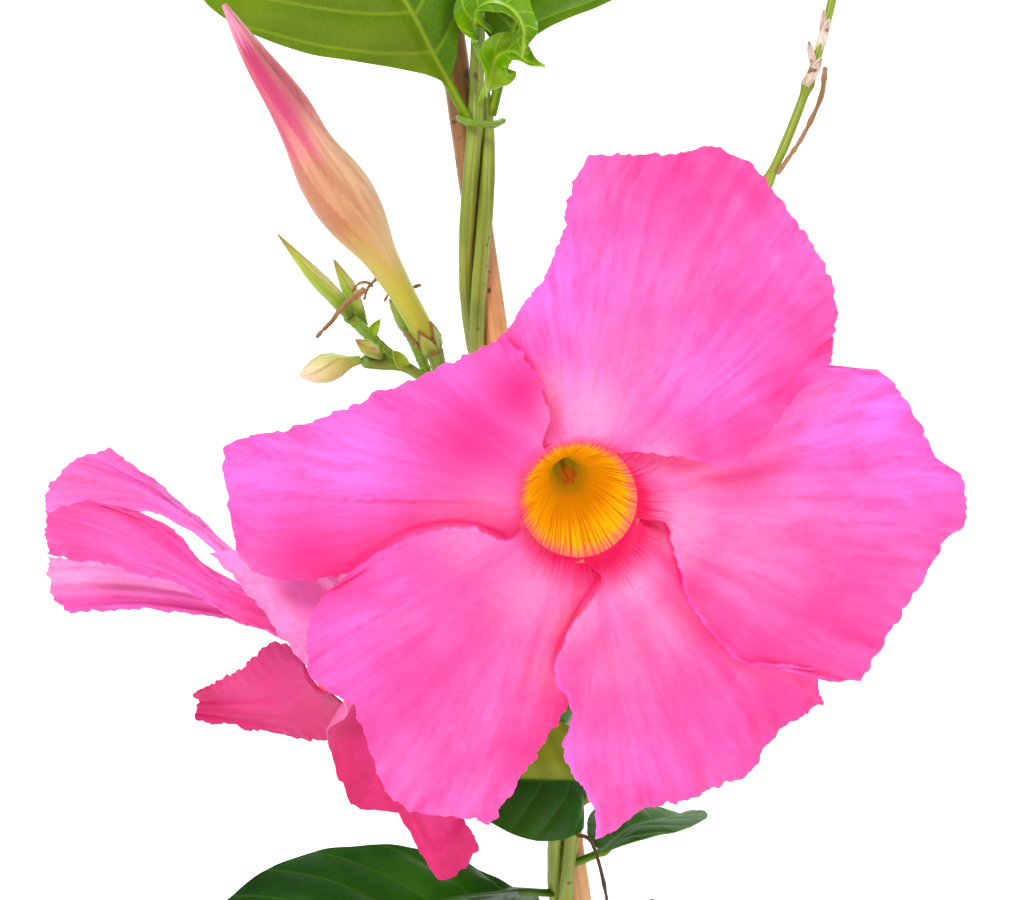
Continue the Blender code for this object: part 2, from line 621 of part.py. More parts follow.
def twined(height, lead):
    """Point at this height on a stem that twines round the cane."""
    angle = math.radians(TWINE_START[1] + TWINE_RATE * (height - TWINE_START[0]) + lead)
    return cane_centre(height) + Vector((math.cos(angle), math.sin(angle), 0.0)) * STEM_COIL


def stem_line(lead, top, end=()):
    """Points of a twined stem from its foot to the height top, and then through the points of end."""
    count = round((top - STEM_FOOT) / STEM_STEP) + 1
    points = [twined(STEM_FOOT + (top - STEM_FOOT) * i / (count - 1), lead) for i in range(count)]
    if end:
        points += [Vector(p) for p in smooth_line((tuple(points[-1]), *end), 8)[1:]]
    return points


def stems(plant):
    tube_curve("stem_a", stem_line(0.0, STEM_A_UNTWINES, STEM_A_TIP), (STEM_RADIUS, 0.8), "stem_green", plant)
    tube_curve("stem_b", stem_line(STEM_B_LEAD, STEM_B_TOP), (STEM_RADIUS, 1.0), "stem_green", plant)
    shoot_line = smooth_line(resolved(VINE_LINE, STEM_REACH + 0.15), 34)
    tube_curve("climbing_shoot", shoot_line, VINE_RADII, "stem_green", plant)


def cane(plant):
    foot, top = Vector(CANE_FOOT), Vector(CANE_TOP)
    line = [foot.lerp(top, i / 4) for i in range(5)]
    tube_curve("cane", line, (CANE_RADIUS, CANE_RADIUS * 0.96), "cane_wood", plant)


def pot(plant, cutters):
    wall_top = POT_HEIGHT - POT_BAND_HEIGHT
    lip = POT_RIM_RADIUS - 3.5 - POT_WALL
    slope = (lip - POT_FOOT_RADIUS) / POT_HEIGHT
    inner_foot = POT_FOOT_RADIUS - POT_WALL + slope * POT_FLOOR
    profile = (
        (0.0, POT_FLOOR), (inner_foot, POT_FLOOR), (lip - 0.6, POT_HEIGHT - 1.2), (lip + 0.6, POT_HEIGHT),
        (POT_RIM_RADIUS - 1.0, POT_HEIGHT), (POT_RIM_RADIUS, POT_HEIGHT - 1.2),
        (POT_RIM_RADIUS - 1.2, wall_top + 0.8), (POT_RIM_RADIUS - 2.0, wall_top),
        (POT_FOOT_RADIUS + slope * wall_top + 0.6, wall_top), (POT_FOOT_RADIUS + 0.4, 1.5),
        (POT_FOOT_RADIUS - 0.8, 0.0), (0.0, 0.0),
    )
    made = turned("pot", profile, (0, 0, 0), (0, 0, 1), "clay_plastic", plant, 48)
    for i in range(DRAIN_COUNT):
        angle = 2 * math.pi * (i + 0.5) / DRAIN_COUNT
        place = Vector((math.cos(angle), math.sin(angle), 0.0)) * DRAIN_CIRCLE * MM
        bpy.ops.mesh.primitive_cylinder_add(vertices=12, radius=DRAIN_RADIUS * MM, depth=4 * POT_FLOOR * MM,
                                            location=place)
        cutter = helper(bpy.context.active_object)
        cutter.name = f"drain_cutter_{i}"
        bpy.context.collection.objects.unlink(cutter)
        cutters.objects.link(cutter)
        boolean(made, cutter, "DIFFERENCE")
    return inner_foot


def soil(inner_foot, plant, cutters):
    lip = POT_RIM_RADIUS - 3.5 - POT_WALL - 0.6
    inner_slope = (lip - inner_foot) / (POT_HEIGHT - 1.2 - POT_FLOOR)
    edge_top = SOIL_TOP - SOIL_DOME
    edge = inner_foot + inner_slope * (edge_top - POT_FLOOR) - GAP
    profile = (
        (0.0, SOIL_TOP), (edge * 0.35, SOIL_TOP - 0.1 * SOIL_DOME), (edge * 0.7, SOIL_TOP - 0.45 * SOIL_DOME),
        (edge - 0.8, edge_top), (edge - 0.1, edge_top - 1.0), (inner_foot - GAP, POT_FLOOR + GAP),
        (0.0, POT_FLOOR + GAP),
    )
    made = turned("soil", profile, (0, 0, 0), (0, 0, 1), "potting_soil", plant, 32)
    holes = {
        "cane_hole": ([cane_centre(h) for h in (CANE_FOOT[2] - 1.0, SOIL_TOP + 6.0)], CANE_RADIUS + GAP),
        "stem_a_hole": (stem_line(0.0, SOIL_TOP + 8.0), STEM_RADIUS + GAP),
        "stem_b_hole": (stem_line(STEM_B_LEAD, SOIL_TOP + 8.0), STEM_RADIUS + GAP),
    }
    for name, (line, radius) in holes.items():
        lowered = [line[0] - Vector((0, 0, 0.5))] + list(line[1:])
        cutter = tube_curve(name, lowered, (radius, radius), "potting_soil", cutters)
        boolean(made, helper(meshed(cutter, cutters)), "DIFFERENCE")


def buds(plant):
    turned("large_bud", BUD_PROFILE, Vector(BUD_FOOT), BUD_AXIS, "bud_blush", plant, 12)
    foot, outward = calyx_foot("large_bud")
    turned("large_bud_calyx", BUD_CALYX_PROFILE, foot, outward, "calyx_green", plant, 12)
    for name, (foot, axis, profile) in SMALL_BUDS.items():
        turned(name, profile, foot, axis, "calyx_green", plant, 10)


def threads(plant):
    for name, (line, radii) in THREADS.items():
        tube_curve(name, smooth_line(resolved(line, STEM_REACH), 8), radii, "dry_brown", plant)


def main():
    for obj in list(bpy.data.objects):
        bpy.data.objects.remove(obj)
    plant = bpy.data.collections.new("mandevilla")
    cutters = bpy.data.collections.new("cutters")
    for collection in (plant, cutters):
        bpy.context.scene.collection.children.link(collection)
    soil(pot(plant, cutters), plant, cutters)
    cane(plant)
    stems(plant)
    stalk_cluster("flower_cluster_1", CLUSTER_1_STALKS, plant, cutters)
    stalk_cluster("flower_cluster_2", CLUSTER_2_STALKS, plant, cutters)
    flower(1, FLOWER_1_PETALS, open_petal, "petal_pink", plant)
    flower(2, FLOWER_2_PETALS, folded_petal, "petal_faded", plant)
    buds(plant)
    leaves(plant)
    threads(plant)


main()
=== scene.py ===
# Potted mandevilla in flower: petals, leaves, twining stems, cane, buds, soil and pot.
# All sizes are in millimetres; makePiece turns them to metres.
import functools
import math

import bpy
import numpy as np
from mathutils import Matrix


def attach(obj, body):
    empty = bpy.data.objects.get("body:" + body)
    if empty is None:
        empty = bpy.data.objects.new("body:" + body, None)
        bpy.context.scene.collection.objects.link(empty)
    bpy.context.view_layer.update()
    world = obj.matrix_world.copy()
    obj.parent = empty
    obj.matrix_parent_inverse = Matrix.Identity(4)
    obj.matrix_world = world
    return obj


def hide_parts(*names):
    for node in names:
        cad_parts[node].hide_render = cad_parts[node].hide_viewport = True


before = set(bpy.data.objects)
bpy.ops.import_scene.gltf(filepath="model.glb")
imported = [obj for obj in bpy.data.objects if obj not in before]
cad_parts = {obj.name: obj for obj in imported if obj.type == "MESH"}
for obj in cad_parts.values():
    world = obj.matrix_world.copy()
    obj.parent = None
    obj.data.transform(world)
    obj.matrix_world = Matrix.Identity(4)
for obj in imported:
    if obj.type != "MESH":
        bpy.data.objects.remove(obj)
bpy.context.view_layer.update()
print("frame loaded:", len(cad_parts), "nodes")


def linear(hexColour):
    # sRGB hex to linear light, channel by channel
    parts = [int(hexColour[i:i + 2], 16) / 255 for i in (0, 2, 4)]
    return tuple(c / 12.92 if c <= 0.04045 else ((c + 0.055) / 1.055) ** 2.4 for c in parts) + (1.0,)


fullTurn = 2.0 * np.pi


def unit(v):
    # each vector brought to length one
    return v / (np.linalg.norm(v, axis=-1, keepdims=True) + 1e-12)


def ramp(x, low, high):
    # 0 below low, 1 above high, and an S-shaped step between them
    u = np.clip((x - low) / (high - low), 0.0, 1.0)
    return u * u * (3.0 - 2.0 * u)


def around(columns):
    # evenly spaced angles round a full turn, as one row
    return np.linspace(0.0, fullTurn, columns, endpoint=False)[None, :]


def newObject(name, data):
    # an object at the origin, shown in the scene
    made = bpy.data.objects.new(name, data)
    bpy.context.scene.collection.objects.link(made)
    return made


def cadName(name):
    # leafTopLeft is the frame's leaf_top_left
    return "".join("_" + letter.lower() if letter.isupper() else letter for letter in name)


def wander(x, seed, longest, shortest, terms=7):
    # an irregular wave between about -1 and 1: the mean of sines of mixed lengths and seeded phases
    rng = np.random.default_rng(seed)
    lengths = np.geomspace(longest, shortest, terms) * rng.uniform(0.85, 1.15, terms)
    phases = rng.uniform(0.0, fullTurn, terms)
    return 1.8 * np.sin(fullTurn * np.asarray(x)[..., None] / lengths + phases).mean(axis=-1)


def stacked(*fields):
    # fields spread to one shape and set side by side as a field of vectors
    return np.stack(np.broadcast_arrays(*fields), axis=-1)


def lengthAlong(line):
    # how far each point lies along the line
    return np.concatenate([[0.0], np.cumsum(np.linalg.norm(np.diff(line, axis=0), axis=1))])


def smoothLine(points, count):
    # a cubic through every point (Catmull-Rom), read at equal steps along its length
    given = np.array(points, float)
    before = np.vstack([2 * given[:1] - given[1:2], given[:-1]])
    after = np.vstack([given[1:], 2 * given[-1:] - given[-2:-1]])
    p0, p1, p2, p3 = (p[:, None, :] for p in (before[:-1], given[:-1], given[1:], after[1:]))
    u = np.linspace(0.0, 1.0, 24, endpoint=False)[None, :, None]
    fine = 0.5 * (2 * p1 + (p2 - p0) * u + (2 * p0 - 5 * p1 + 4 * p2 - p3) * u ** 2
                  + (3 * p1 - p0 - 3 * p2 + p3) * u ** 3)
    fine = np.vstack([fine.reshape(-1, given.shape[1]), given[-1:]])
    along = lengthAlong(fine)
    wanted = np.linspace(0.0, along[-1], count)
    return np.stack([np.interp(wanted, along, fine[:, k]) for k in range(given.shape[1])], axis=1)


# meshes from grids

def gridQuads(rows, columns, wrapRows=False, wrapColumns=False):
    # a quad (here, next column, next row and column, next row) for every cell of the grid
    r = np.arange(rows if wrapRows else rows - 1)[:, None]
    c = np.arange(columns if wrapColumns else columns - 1)[None, :]
    nextRow, nextColumn = (r + 1) % rows, (c + 1) % columns
    here, below = r * columns, nextRow * columns
    return np.stack([here + c, here + nextColumn, below + nextColumn, below + c], axis=-1).reshape(-1, 4)


def makePiece(name, parts, finish, cadNodes, sharp=50):
    # parts are (points, faces, marks): they become one mesh object at the origin, riding on the root
    points = np.vstack([p for p, _, _ in parts])
    offsets = np.concatenate([[0], np.cumsum([len(p) for p, _, _ in parts])])
    faces = [face for (_, faceSets, _), shift in zip(parts, offsets)
             for faceSet in faceSets for face in (faceSet + shift).tolist()]
    mesh = bpy.data.meshes.new(name)
    mesh.from_pydata((points * 0.001).tolist(), [], faces)
    for mark in parts[0][2]:
        values = np.concatenate([np.asarray(m[mark], float) for _, _, m in parts])
        kind, field = ("FLOAT_VECTOR", "vector") if values.ndim == 2 else ("FLOAT", "value")
        mesh.attributes.new(mark, kind, "POINT").data.foreach_set(field, values.ravel())
    mesh.shade_smooth()
    mesh.set_sharp_from_angle(angle=math.radians(sharp))
    piece = newObject(name, mesh)
    mesh.materials.append(finish)
    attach(piece, "root")
    if cadNodes:
        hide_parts(*cadNodes)
    return piece


def thickSheet(surface, thickness, marks):
    # the surface moved half its thickness both ways along its normal, closed by a rim of quads
    rows, columns = surface.shape[:2]
    normal = unit(np.cross(np.gradient(surface, axis=0), np.gradient(surface, axis=1)))
    shift = normal * np.broadcast_to(np.asarray(thickness) / 2.0, (rows, columns))[..., None]
    points = np.concatenate([(surface + shift).reshape(-1, 3), (surface - shift).reshape(-1, 3)])
    total = rows * columns
    quads = gridQuads(rows, columns)
    index = np.arange(total).reshape(rows, columns)
    edge = np.concatenate([index[:-1, 0], index[-1, :-1], index[:0:-1, -1], index[0, :0:-1]])
    ahead = np.roll(edge, -1)
    rim = np.stack([ahead, edge, edge + total, ahead + total], axis=-1)
    both = {k: np.concatenate([v.reshape(total, -1)] * 2).squeeze() for k, v in marks.items()}
    both["underside"] = np.repeat([0.0, 1.0], total)
    return points, [quads[:, ::-1], quads + total, rim], both


def ringSkin(rings, marks, wrapRows=False):
    # a skin over rings of points (row by row, columns closed), its ends closed by a fan to a middle point
    rows, columns = rings.shape[:2]
    points, faces = rings.reshape(-1, 3), [gridQuads(rows, columns, wrapRows, True)]
    marks = {k: v.reshape(rows * columns, -1) for k, v in marks.items()}
    if not wrapRows:
        here = np.arange(columns)
        there = (here + 1) % columns
        first, last = rows * columns, rows * columns + 1
        points = np.vstack([points, rings[0].mean(axis=0), rings[-1].mean(axis=0)])
        faces.append(np.stack([np.full(columns, first), there, here], axis=-1))
        edge = (rows - 1) * columns
        faces.append(np.stack([np.full(columns, last), edge + here, edge + there], axis=-1))
        marks = {k: np.vstack([v, v[:columns].mean(axis=0), v[-columns:].mean(axis=0)])
                 for k, v in marks.items()}
    return points, faces, {k: v.squeeze() for k, v in marks.items()}


def pathFrames(path):
    # the direction along a path, and two directions square to it that turn as little as they can
    along = unit(np.gradient(path, axis=0))
    least = np.eye(3)[np.argmin(np.abs(along).max(axis=0))]
    side = unit(np.cross(along, least))
    return along, side, np.cross(along, side)


def tube(path, radii, columns=16, swell=None):
    # circles square to the path, one for each point; swell(turn, share) is added to the radius
    rows = len(path)
    _, side, other = pathFrames(path)
    share = np.linspace(0.0, 1.0, rows)[:, None]
    turn = around(columns)
    radius = np.broadcast_to(np.asarray(radii, float).reshape(-1, 1), (rows, 1)) + 0.0 * turn
    if swell is not None:
        radius = radius + swell(turn, share)
    spokes = side[:, None] * np.cos(turn)[..., None] + other[:, None] * np.sin(turn)[..., None]
    rings = path[:, None] + spokes * radius[..., None]
    return ringSkin(rings, {"place": stacked(turn / fullTurn, lengthAlong(path)[:, None], share)})


def spun(profile, foot, axis, columns=64, closedRing=False, swell=None):
    # a (radius, height) profile carried round an axis that stands at foot; swell(turn, height) adds radius
    up = unit(np.array(axis, float))
    side = unit(np.cross((0.0, 0.0, 1.0) if abs(up[2]) < 0.95 else (0.0, 1.0, 0.0), up))
    other = np.cross(up, side)
    turn = around(columns)
    radius, height = (values[:, None] + 0.0 * turn for values in np.array(profile, float).T)
    if swell is not None:
        radius = radius + swell(turn, height)
    spokes = side * np.cos(turn)[..., None] + other * np.sin(turn)[..., None]
    rings = np.array(foot, float) + spokes * radius[..., None] + up * height[..., None]
    return ringSkin(rings, {"place": stacked(turn / fullTurn, height, radius)}, closedRing)


# materials: a noise on Object coordinates counts its cells to a metre, one on the mark place counts them
# to a turn and to a millimetre

def addNode(tree, kind, inputs=(), out=0, stops=(), **settings):
    # adds one node with its settings and colour stops; its inputs come in order or by name, are linked or
    # set, and a text among them is a hex colour; gives back one output, or all of them for None
    made = tree.nodes.new("ShaderNode" + kind)
    for key, value in settings.items():
        setattr(made, key, value)
    while stops and len(made.color_ramp.elements) < len(stops):
        made.color_ramp.elements.new(1.0)
    for step, (position, hexColour) in enumerate(stops):
        element = made.color_ramp.elements[step]
        element.position, element.color = position, linear(hexColour)
    for key, value in inputs.items() if isinstance(inputs, dict) else enumerate(inputs):
        if isinstance(value, bpy.types.NodeSocket):
            tree.links.new(value, made.inputs[key])
        else:
            made.inputs[key].default_value = linear(value) if isinstance(value, str) else value
    return made.outputs if out is None else made.outputs[out]


def newFinish(name, roughness, **fixed):
    # an empty finish, the function that adds nodes to it, and its shader with its steady values set
    made = bpy.data.materials.new(name)
    made.use_nodes = True
    shader = made.node_tree.nodes["Principled BSDF"]
    shader.inputs["Roughness"].default_value = roughness
    for key, value in fixed.items():
        shader.inputs[key.replace("_", " ")].default_value = value
    return made, functools.partial(addNode, made.node_tree), shader


def dress(made, shader, colour, relief, strength, depth):
    # the worked out colour goes to the shader, and the relief becomes a bump this many metres deep
    tree = made.node_tree
    bump = addNode(tree, "Bump", {"Strength": strength, "Distance": depth, "Height": relief})
    tree.links.new(colour, shader.inputs["Base Color"])
    tree.links.new(bump, shader.inputs["Normal"])
    return made


def streaks(add, place, around, along, **noise):
    # flat noise on the mark place (turn, length in mm): so many cells to a turn and to a millimetre
    stretched = add("VectorMath", [place, (around, along, 0.0)], operation="MULTIPLY")
    return add("TexNoise", {"Vector": stretched, "Scale": 1.0, **noise}, noise_dimensions="2D")


def petalFinish(name, hexes, streakPitch):
    # living petal: thin wet cells under a waxy skin. The eye gets a saturated ground with a soft
    # sheen, fine veins that fan out from the throat, paler patches of its own colour near the throat,
    # lilac patches of painted highlight where it faces the light, and deeper patches of painted shade.
    made, add, shader = newFinish(name, 0.45, Sheen_Weight=0.06, Sheen_Roughness=0.4,
                                  Sheen_Tint=linear("FF9CF0"), Subsurface_Weight=0.25,
                                  Subsurface_Radius=(1.0, 0.35, 0.6), Subsurface_Scale=0.001,
                                  Specular_IOR_Level=0.22)
    place = add("Attribute", out="Vector", attribute_name="place")
    # three shares per point: lilac painted highlight, deep painted shade, and the petal's own pale colour
    tint = add("Attribute", out="Vector", attribute_name="tint")
    highlightShare, deepShadeShare, palePatch = add("SeparateXYZ", [tint], None)
    veins = streaks(add, place, streakPitch, 0.08, Detail=6.0, Roughness=0.72, Distortion=0.15)
    objectPlace = add("TexCoord", out="Object")
    cells = add("TexNoise", {"Vector": objectPlace, "Scale": 900.0, "Detail": 3.0, "Roughness": 0.6})
    patches = streaks(add, place, streakPitch * 0.16, 0.07, Detail=4.0, Roughness=0.6, Distortion=0.4)
    patchShare = add("MapRange", [patches, 0.3, 0.7, 0.1, 0.9])
    veinShare = add("MapRange", [veins, 0.42, 0.62])
    paleVeins = add("MapRange", [veins, 0.35, 0.6, 0.45, 1.0])
    paleShare = add("Math", [palePatch, paleVeins], operation="MULTIPLY")
    cellShare = add("MapRange", [cells, 0.35, 0.65, 0.22, 0.5])
    fineShare = add("Math", [veinShare, cellShare], operation="MULTIPLY")
    # the ring round the throat ends in streaks: the veins shift its edge by up to 3 mm
    ringPlace = add("SeparateXYZ", [place], 2)
    edge = add("Math", [veins, 6.0, ringPlace], operation="MULTIPLY_ADD")
    ringShare = add("MapRange", [edge, 10.6, 14.4, 1.0, 0.0])
    # the deep share is painted shade and the lilac share painted highlight; ground2, pale, vein and ring
    # are the petal's own colours
    colour = hexes["ground"]
    shares = {"ground2": patchShare, "highlight": highlightShare, "deep": deepShadeShare, "pale": paleShare,
              "vein": fineShare, "ring": ringShare}
    for tone, share in shares.items():
        colour = add("Mix", {0: share, 6: colour, 7: hexes[tone]}, 2, data_type="RGBA")
    relief = add("Math", [cells, 0.35, veins], operation="MULTIPLY_ADD")
    return dress(made, shader, colour, relief, 0.5, 0.0003)


def throatFinish():
    # the inside of the corolla: yellow ground, dark nectar guides that run in from the mouth, and painted
    # shade that turns it darker yellow-green in the depths; outside it is pale greenish cream
    made, add, shader = newFinish("petalThroatYellow", 0.5, Subsurface_Weight=0.2, Subsurface_Scale=0.002,
                                  Subsurface_Radius=(1.0, 0.5, 0.1), Specular_IOR_Level=0.3)
    place = add("Attribute", out="Vector", attribute_name="place")
    _, inward, leaned = add("SeparateXYZ", [place], None)
    lines = streaks(add, place, 170.0, 0.05, Detail=4.0, Roughness=0.65, Distortion=0.2)
    depth = add("MapRange", [inward, 0.0, 30.0])
    # painted shade: the yellow turns darker and greener towards the bottom of the funnel
    body = add("ValToRGB", [depth], stops=[(0.0, "EFB00E"), (0.15, "F1B606"), (0.42, "ECB004"),
                                           (0.66, "EEB40A"), (0.84, "DCB014"), (1.0, "BCA41C")])
    guideShare = add("MapRange", [lines, 0.5, 0.6, 0.0, 0.85])
    near = add("MapRange", [inward, 3.0, 20.0, 1.0, 0.2])
    guides = add("Math", [guideShare, near], operation="MULTIPLY")
    edge = add("Math", [lines, -7.0, leaned], operation="MULTIPLY_ADD")
    rimShare = add("MapRange", [edge, -2.2, 2.2, 1.0, 0.0])
    skin = add("ValToRGB", [depth],
               stops=[(0.0, "E6206E"), (0.14, "F0A0A8"), (0.3, "F3DDB4"), (1.0, "C2D070")])
    outside = add("Attribute", out="Fac", attribute_name="outside")
    colour = body
    for share, tone in ((guides, "8E3E0A"), (rimShare, "E81E6C"), (outside, skin)):
        colour = add("Mix", {0: share, 6: colour, 7: tone}, 2, data_type="RGBA")
    # painted light: the inside glows by emission, standing in for daylight that comes through the thin wall
    # and keeps the funnel bright
    paintedGlow = add("Mix", {0: outside, 6: colour, 7: "000000"}, 2, data_type="RGBA")
    made.node_tree.links.new(paintedGlow, shader.inputs["Emission Color"])
    shader.inputs["Emission Strength"].default_value = 0.26
    return dress(made, shader, colour, lines, 0.4, 0.0003)


def leafFinish(name, hexes, roughness, coat):
    # waxy leaf: a glossy cuticle over dark blade cells, a paler midrib and side veins, a dull pale
    # underside, and a painted glow of daylight that shines through some blades
    made, add, shader = newFinish(name, roughness, Coat_Weight=coat, Coat_Roughness=0.22,
                                  Specular_IOR_Level=0.14)
    place = add("Attribute", out="Vector", attribute_name="place")
    out, _, phase = add("SeparateXYZ", [place], None)
    objectPlace = add("TexCoord", out="Object")
    cloud = add("TexNoise", {"Vector": objectPlace, "Scale": 45.0, "Detail": 4.0, "Roughness": 0.6})
    cells = add("TexVoronoi", {"Vector": objectPlace, "Scale": 900.0}, feature="DISTANCE_TO_EDGE")
    blade = add("ValToRGB", [cloud],
                stops=[(0.3, hexes["dark"]), (0.5, hexes["mid"]), (0.72, hexes["light"])])
    sideVein = add("Math", [phase, 0.5], operation="PINGPONG")
    sideShare = add("MapRange", [sideVein, 0.0, 0.075, 0.55, 0.0])
    midShare = add("MapRange", [out, 0.2, 0.75, 0.9, 0.0])
    veinShare = add("Math", [sideShare, midShare], operation="MAXIMUM")
    netShare = add("MapRange", [cells, 0.0, 0.09, 0.12, 0.0])
    under = add("Attribute", out="Fac", attribute_name="underside")
    underShare = add("Math", [under, 0.7], operation="MULTIPLY")
    backlit = add("Attribute", out="Fac", attribute_name="backlit")
    colour = blade
    # the backlit share is painted light: daylight through the blade, drawn as a lighter colour
    for share, tone in ((netShare, "vein"), (veinShare, "vein"), (backlit, "thin"), (underShare, "under")):
        colour = add("Mix", {0: share, 6: colour, 7: hexes[tone]}, 2, data_type="RGBA")
    return dress(made, shader, colour, cells, 0.25, 0.0002)


def stalkFinish(name, low, high, speck, roughness=0.42, grainAlong=0.05, speckSize=0.72):
    # green stem, cane or dry stalk: fibres that run along it, drawn 0.5 mm wide, small dark specks, and
    # painted shade that darkens the cane's top
    made, add, shader = newFinish(name, roughness, Specular_IOR_Level=0.4, Coat_Weight=0.12,
                                  Coat_Roughness=0.3)
    place = add("Attribute", out="Vector", attribute_name="place")
    fibres = streaks(add, place, 14.0, grainAlong, Detail=4.0)
    objectPlace = add("TexCoord", out="Object")
    cloud = add("TexNoise", {"Vector": objectPlace, "Scale": 90.0, "Detail": 3.0})
    both = add("Mix", {0: 0.5, 2: fibres, 3: cloud}, data_type="FLOAT")
    body = add("ValToRGB", [both], stops=[(0.36, low), (0.62, high)])
    spots = add("TexNoise", {"Vector": objectPlace, "Scale": 520.0, "Detail": 1.0})
    spotShare = add("MapRange", [spots, speckSize, speckSize + 0.05, 0.0, 0.8])
    aged = add("Attribute", out="Fac", attribute_name="aged")
    colour = body
    # painted shade darkens the cane's top; the specks are its own
    for share, tone in ((aged, "6E4420"), (spotShare, speck)):
        colour = add("Mix", {0: share, 6: colour, 7: tone}, 2, data_type="RGBA")
    return dress(made, shader, colour, fibres, 0.5, 0.0002)


def budFinish(name, stops, shadeHex, roughness=0.4, paleHex="E6D694"):
    # furled petals or sepals: the colour changes from foot to point, with painted shade in the folds and a
    # paler colour that is partly painted highlight
    made, add, shader = newFinish(name, roughness, Subsurface_Weight=0.2, Subsurface_Scale=0.0015,
                                  Sheen_Weight=0.1, Specular_IOR_Level=0.35)
    place = add("Attribute", out="Vector", attribute_name="place")
    fibres = streaks(add, place, 34.0, 0.12, Detail=3.0)
    along = add("SeparateXYZ", [place], 2)
    shifted = add("Math", [fibres, 0.12, along], operation="MULTIPLY_ADD")
    body = add("ValToRGB", [shifted], stops=stops)
    paleFibres = add("MapRange", [fibres, 0.35, 0.6, 0.5, 1.0])
    # paler where the bud faces the light (painted highlight) and along its lap edges (its own colour)
    paleAndLit = add("Attribute", out="Fac", attribute_name="paleAndLit")
    patchy = add("Math", [paleAndLit, paleFibres], operation="MULTIPLY")
    # the crease share is painted shade in the folds, laps and grooves
    crease = add("Attribute", out="Fac", attribute_name="crease")
    colour = body
    for share, tone in ((patchy, paleHex), (crease, shadeHex)):
        colour = add("Mix", {0: share, 6: colour, 7: tone}, 2, data_type="RGBA")
    return dress(made, shader, colour, fibres, 0.3, 0.0002)


def earthFinish(name, stops, scale, roughness, bumpDepth):
    # soil, bark, grit or clay-coloured plastic: a matt skin with a broken colour
    made, add, shader = newFinish(name, roughness, Specular_IOR_Level=0.25)
    objectPlace = add("TexCoord", out="Object")
    crumbs = add("TexNoise", {"Vector": objectPlace, "Scale": scale, "Detail": 8.0, "Roughness": 0.7})
    colour = add("ValToRGB", [crumbs], stops=stops)
    return dress(made, shader, colour, crumbs, 0.8, bumpDepth)


pinkPetal = petalFinish("petalHotPink",
    {"ground": "F94496", "ground2": "FC68B8", "highlight": "FA70DC", "deep": "E41076", "pale": "FCA4CE",
        "vein": "EE2A86", "ring": "DA0E5A"}, 150.0)
fadedPetal = petalFinish("petalCrimsonFaded",
    {"ground": "F648A4", "ground2": "FB62BE", "highlight": "FC84EA", "deep": "B81A5C", "pale": "FDB0E0",
        "vein": "DE2C80", "ring": "E0286E"}, 60.0)
throatYellow = throatFinish()
leafMid = leafFinish("leafWaxyGreen",
    {"dark": "2A5C00", "mid": "467200", "light": "668A00", "vein": "8EA820", "under": "6A9408",
        "thin": "8C9C04"}, 0.5, 0.04)
# darker leaf finish: grown leaves are dark green, and part of it is painted shade for leaves under the
# flowers
leafDark = leafFinish("leafWaxyDark",
    {"dark": "0A3400", "mid": "144600", "light": "2A6002", "vein": "3A6A0C", "under": "6A7A14",
        "thin": "7E8E10"}, 0.38, 0.1)
leafFresh = leafFinish("leafFreshGreen",
    {"dark": "1C5800", "mid": "2C6C00", "light": "428400", "vein": "568A10", "under": "7C9A1C",
        "thin": "8EA81E"}, 0.5, 0.02)
leafYoung = leafFinish("leafTenderGreen",
    {"dark": "306400", "mid": "5A8E00", "light": "94C404", "vein": "B4D640", "under": "80B008",
        "thin": "B8DC14"}, 0.38, 0.2)
stemGreen = stalkFinish("stemOliveGreen", "667A1C", "97A63C", "5A4A1E")
stalkGreen = stalkFinish("flowerStalkGreen", "4E7A12", "86AA30", "4A5A16")
shootGreen = stalkFinish("shootLimeGreen", "6E8210", "93A626", "8A7A5A")
caneTan = stalkFinish("caneBambooTan", "BC8446", "EAB47A", "4A2412", 0.45, 0.03, 0.66)
dryBrown = stalkFinish("dryStalkBrown", "6A4420", "B48A5C", "3A2010", 0.7)
dryDark = stalkFinish("dryStalkDark", "32200E", "6E4C26", "1E1208", 0.7)
dryPaper = stalkFinish("bractDryPaper", "A08262", "E8DACA", "6A3A28", 0.7, 0.4, 0.6)
calyxGreen = budFinish("calyxFreshGreen",
    [(0.0, "5E8A1C"), (0.45, "86AE34"), (0.9, "A8C858"), (1.0, "8A6A34")], "4C7418")
calyxDark = budFinish("calyxShadedGreen",
    [(0.0, "28520C"), (0.45, "386A12"), (0.9, "4A7A1C"), (1.0, "5A4A20")], "1E4208")
budBlush = budFinish("budBlushPeach",
    [(0.0, "98B028"), (0.2, "BEC83E"), (0.34, "CCC060"), (0.46, "B87C4C"), (0.62, "B87458"),
        (0.66, "CC6272"), (0.76, "C2406A"), (0.94, "B63462"), (1.0, "DC88A8")], "8C1C44", 0.4, "EED2A0")
budGreen = budFinish("budYellowGreen", [(0.0, "5E8C14"), (0.4, "8CB428"), (0.8, "A8B83C"), (1.0, "94823C")],
    "5E7A1C")
budCream = budFinish("budCream", [(0.0, "7E9E2C"), (0.35, "B8C460"), (0.7, "D6D890"), (1.0, "EAD8B8")],
    "A8B060")
antherTan = budFinish("antherTan", [(0.0, "B8A040"), (0.6, "DCB038"), (1.0, "C88C28")], "8A5A18")
soilPeat = earthFinish("soilPeatMix", [(0.3, "1C120B"), (0.5, "33241A"), (0.7, "57402D")], 420.0, 0.95,
    0.0015)
barkChip = earthFinish("soilBarkChip", [(0.3, "3A2415"), (0.55, "6B4529"), (0.75, "94683F")], 300.0, 0.85,
    0.0006)
perlite = earthFinish("soilPerlite", [(0.3, "CFCBC0"), (0.6, "EFEDE6")], 500.0, 0.9, 0.0005)
potClay = earthFinish("potMouldedClayPlastic", [(0.35, "A5512F"), (0.55, "B15A36"), (0.7, "BC6640")], 900.0,
    0.5, 0.00006)
print("materials made")

# cane and stems

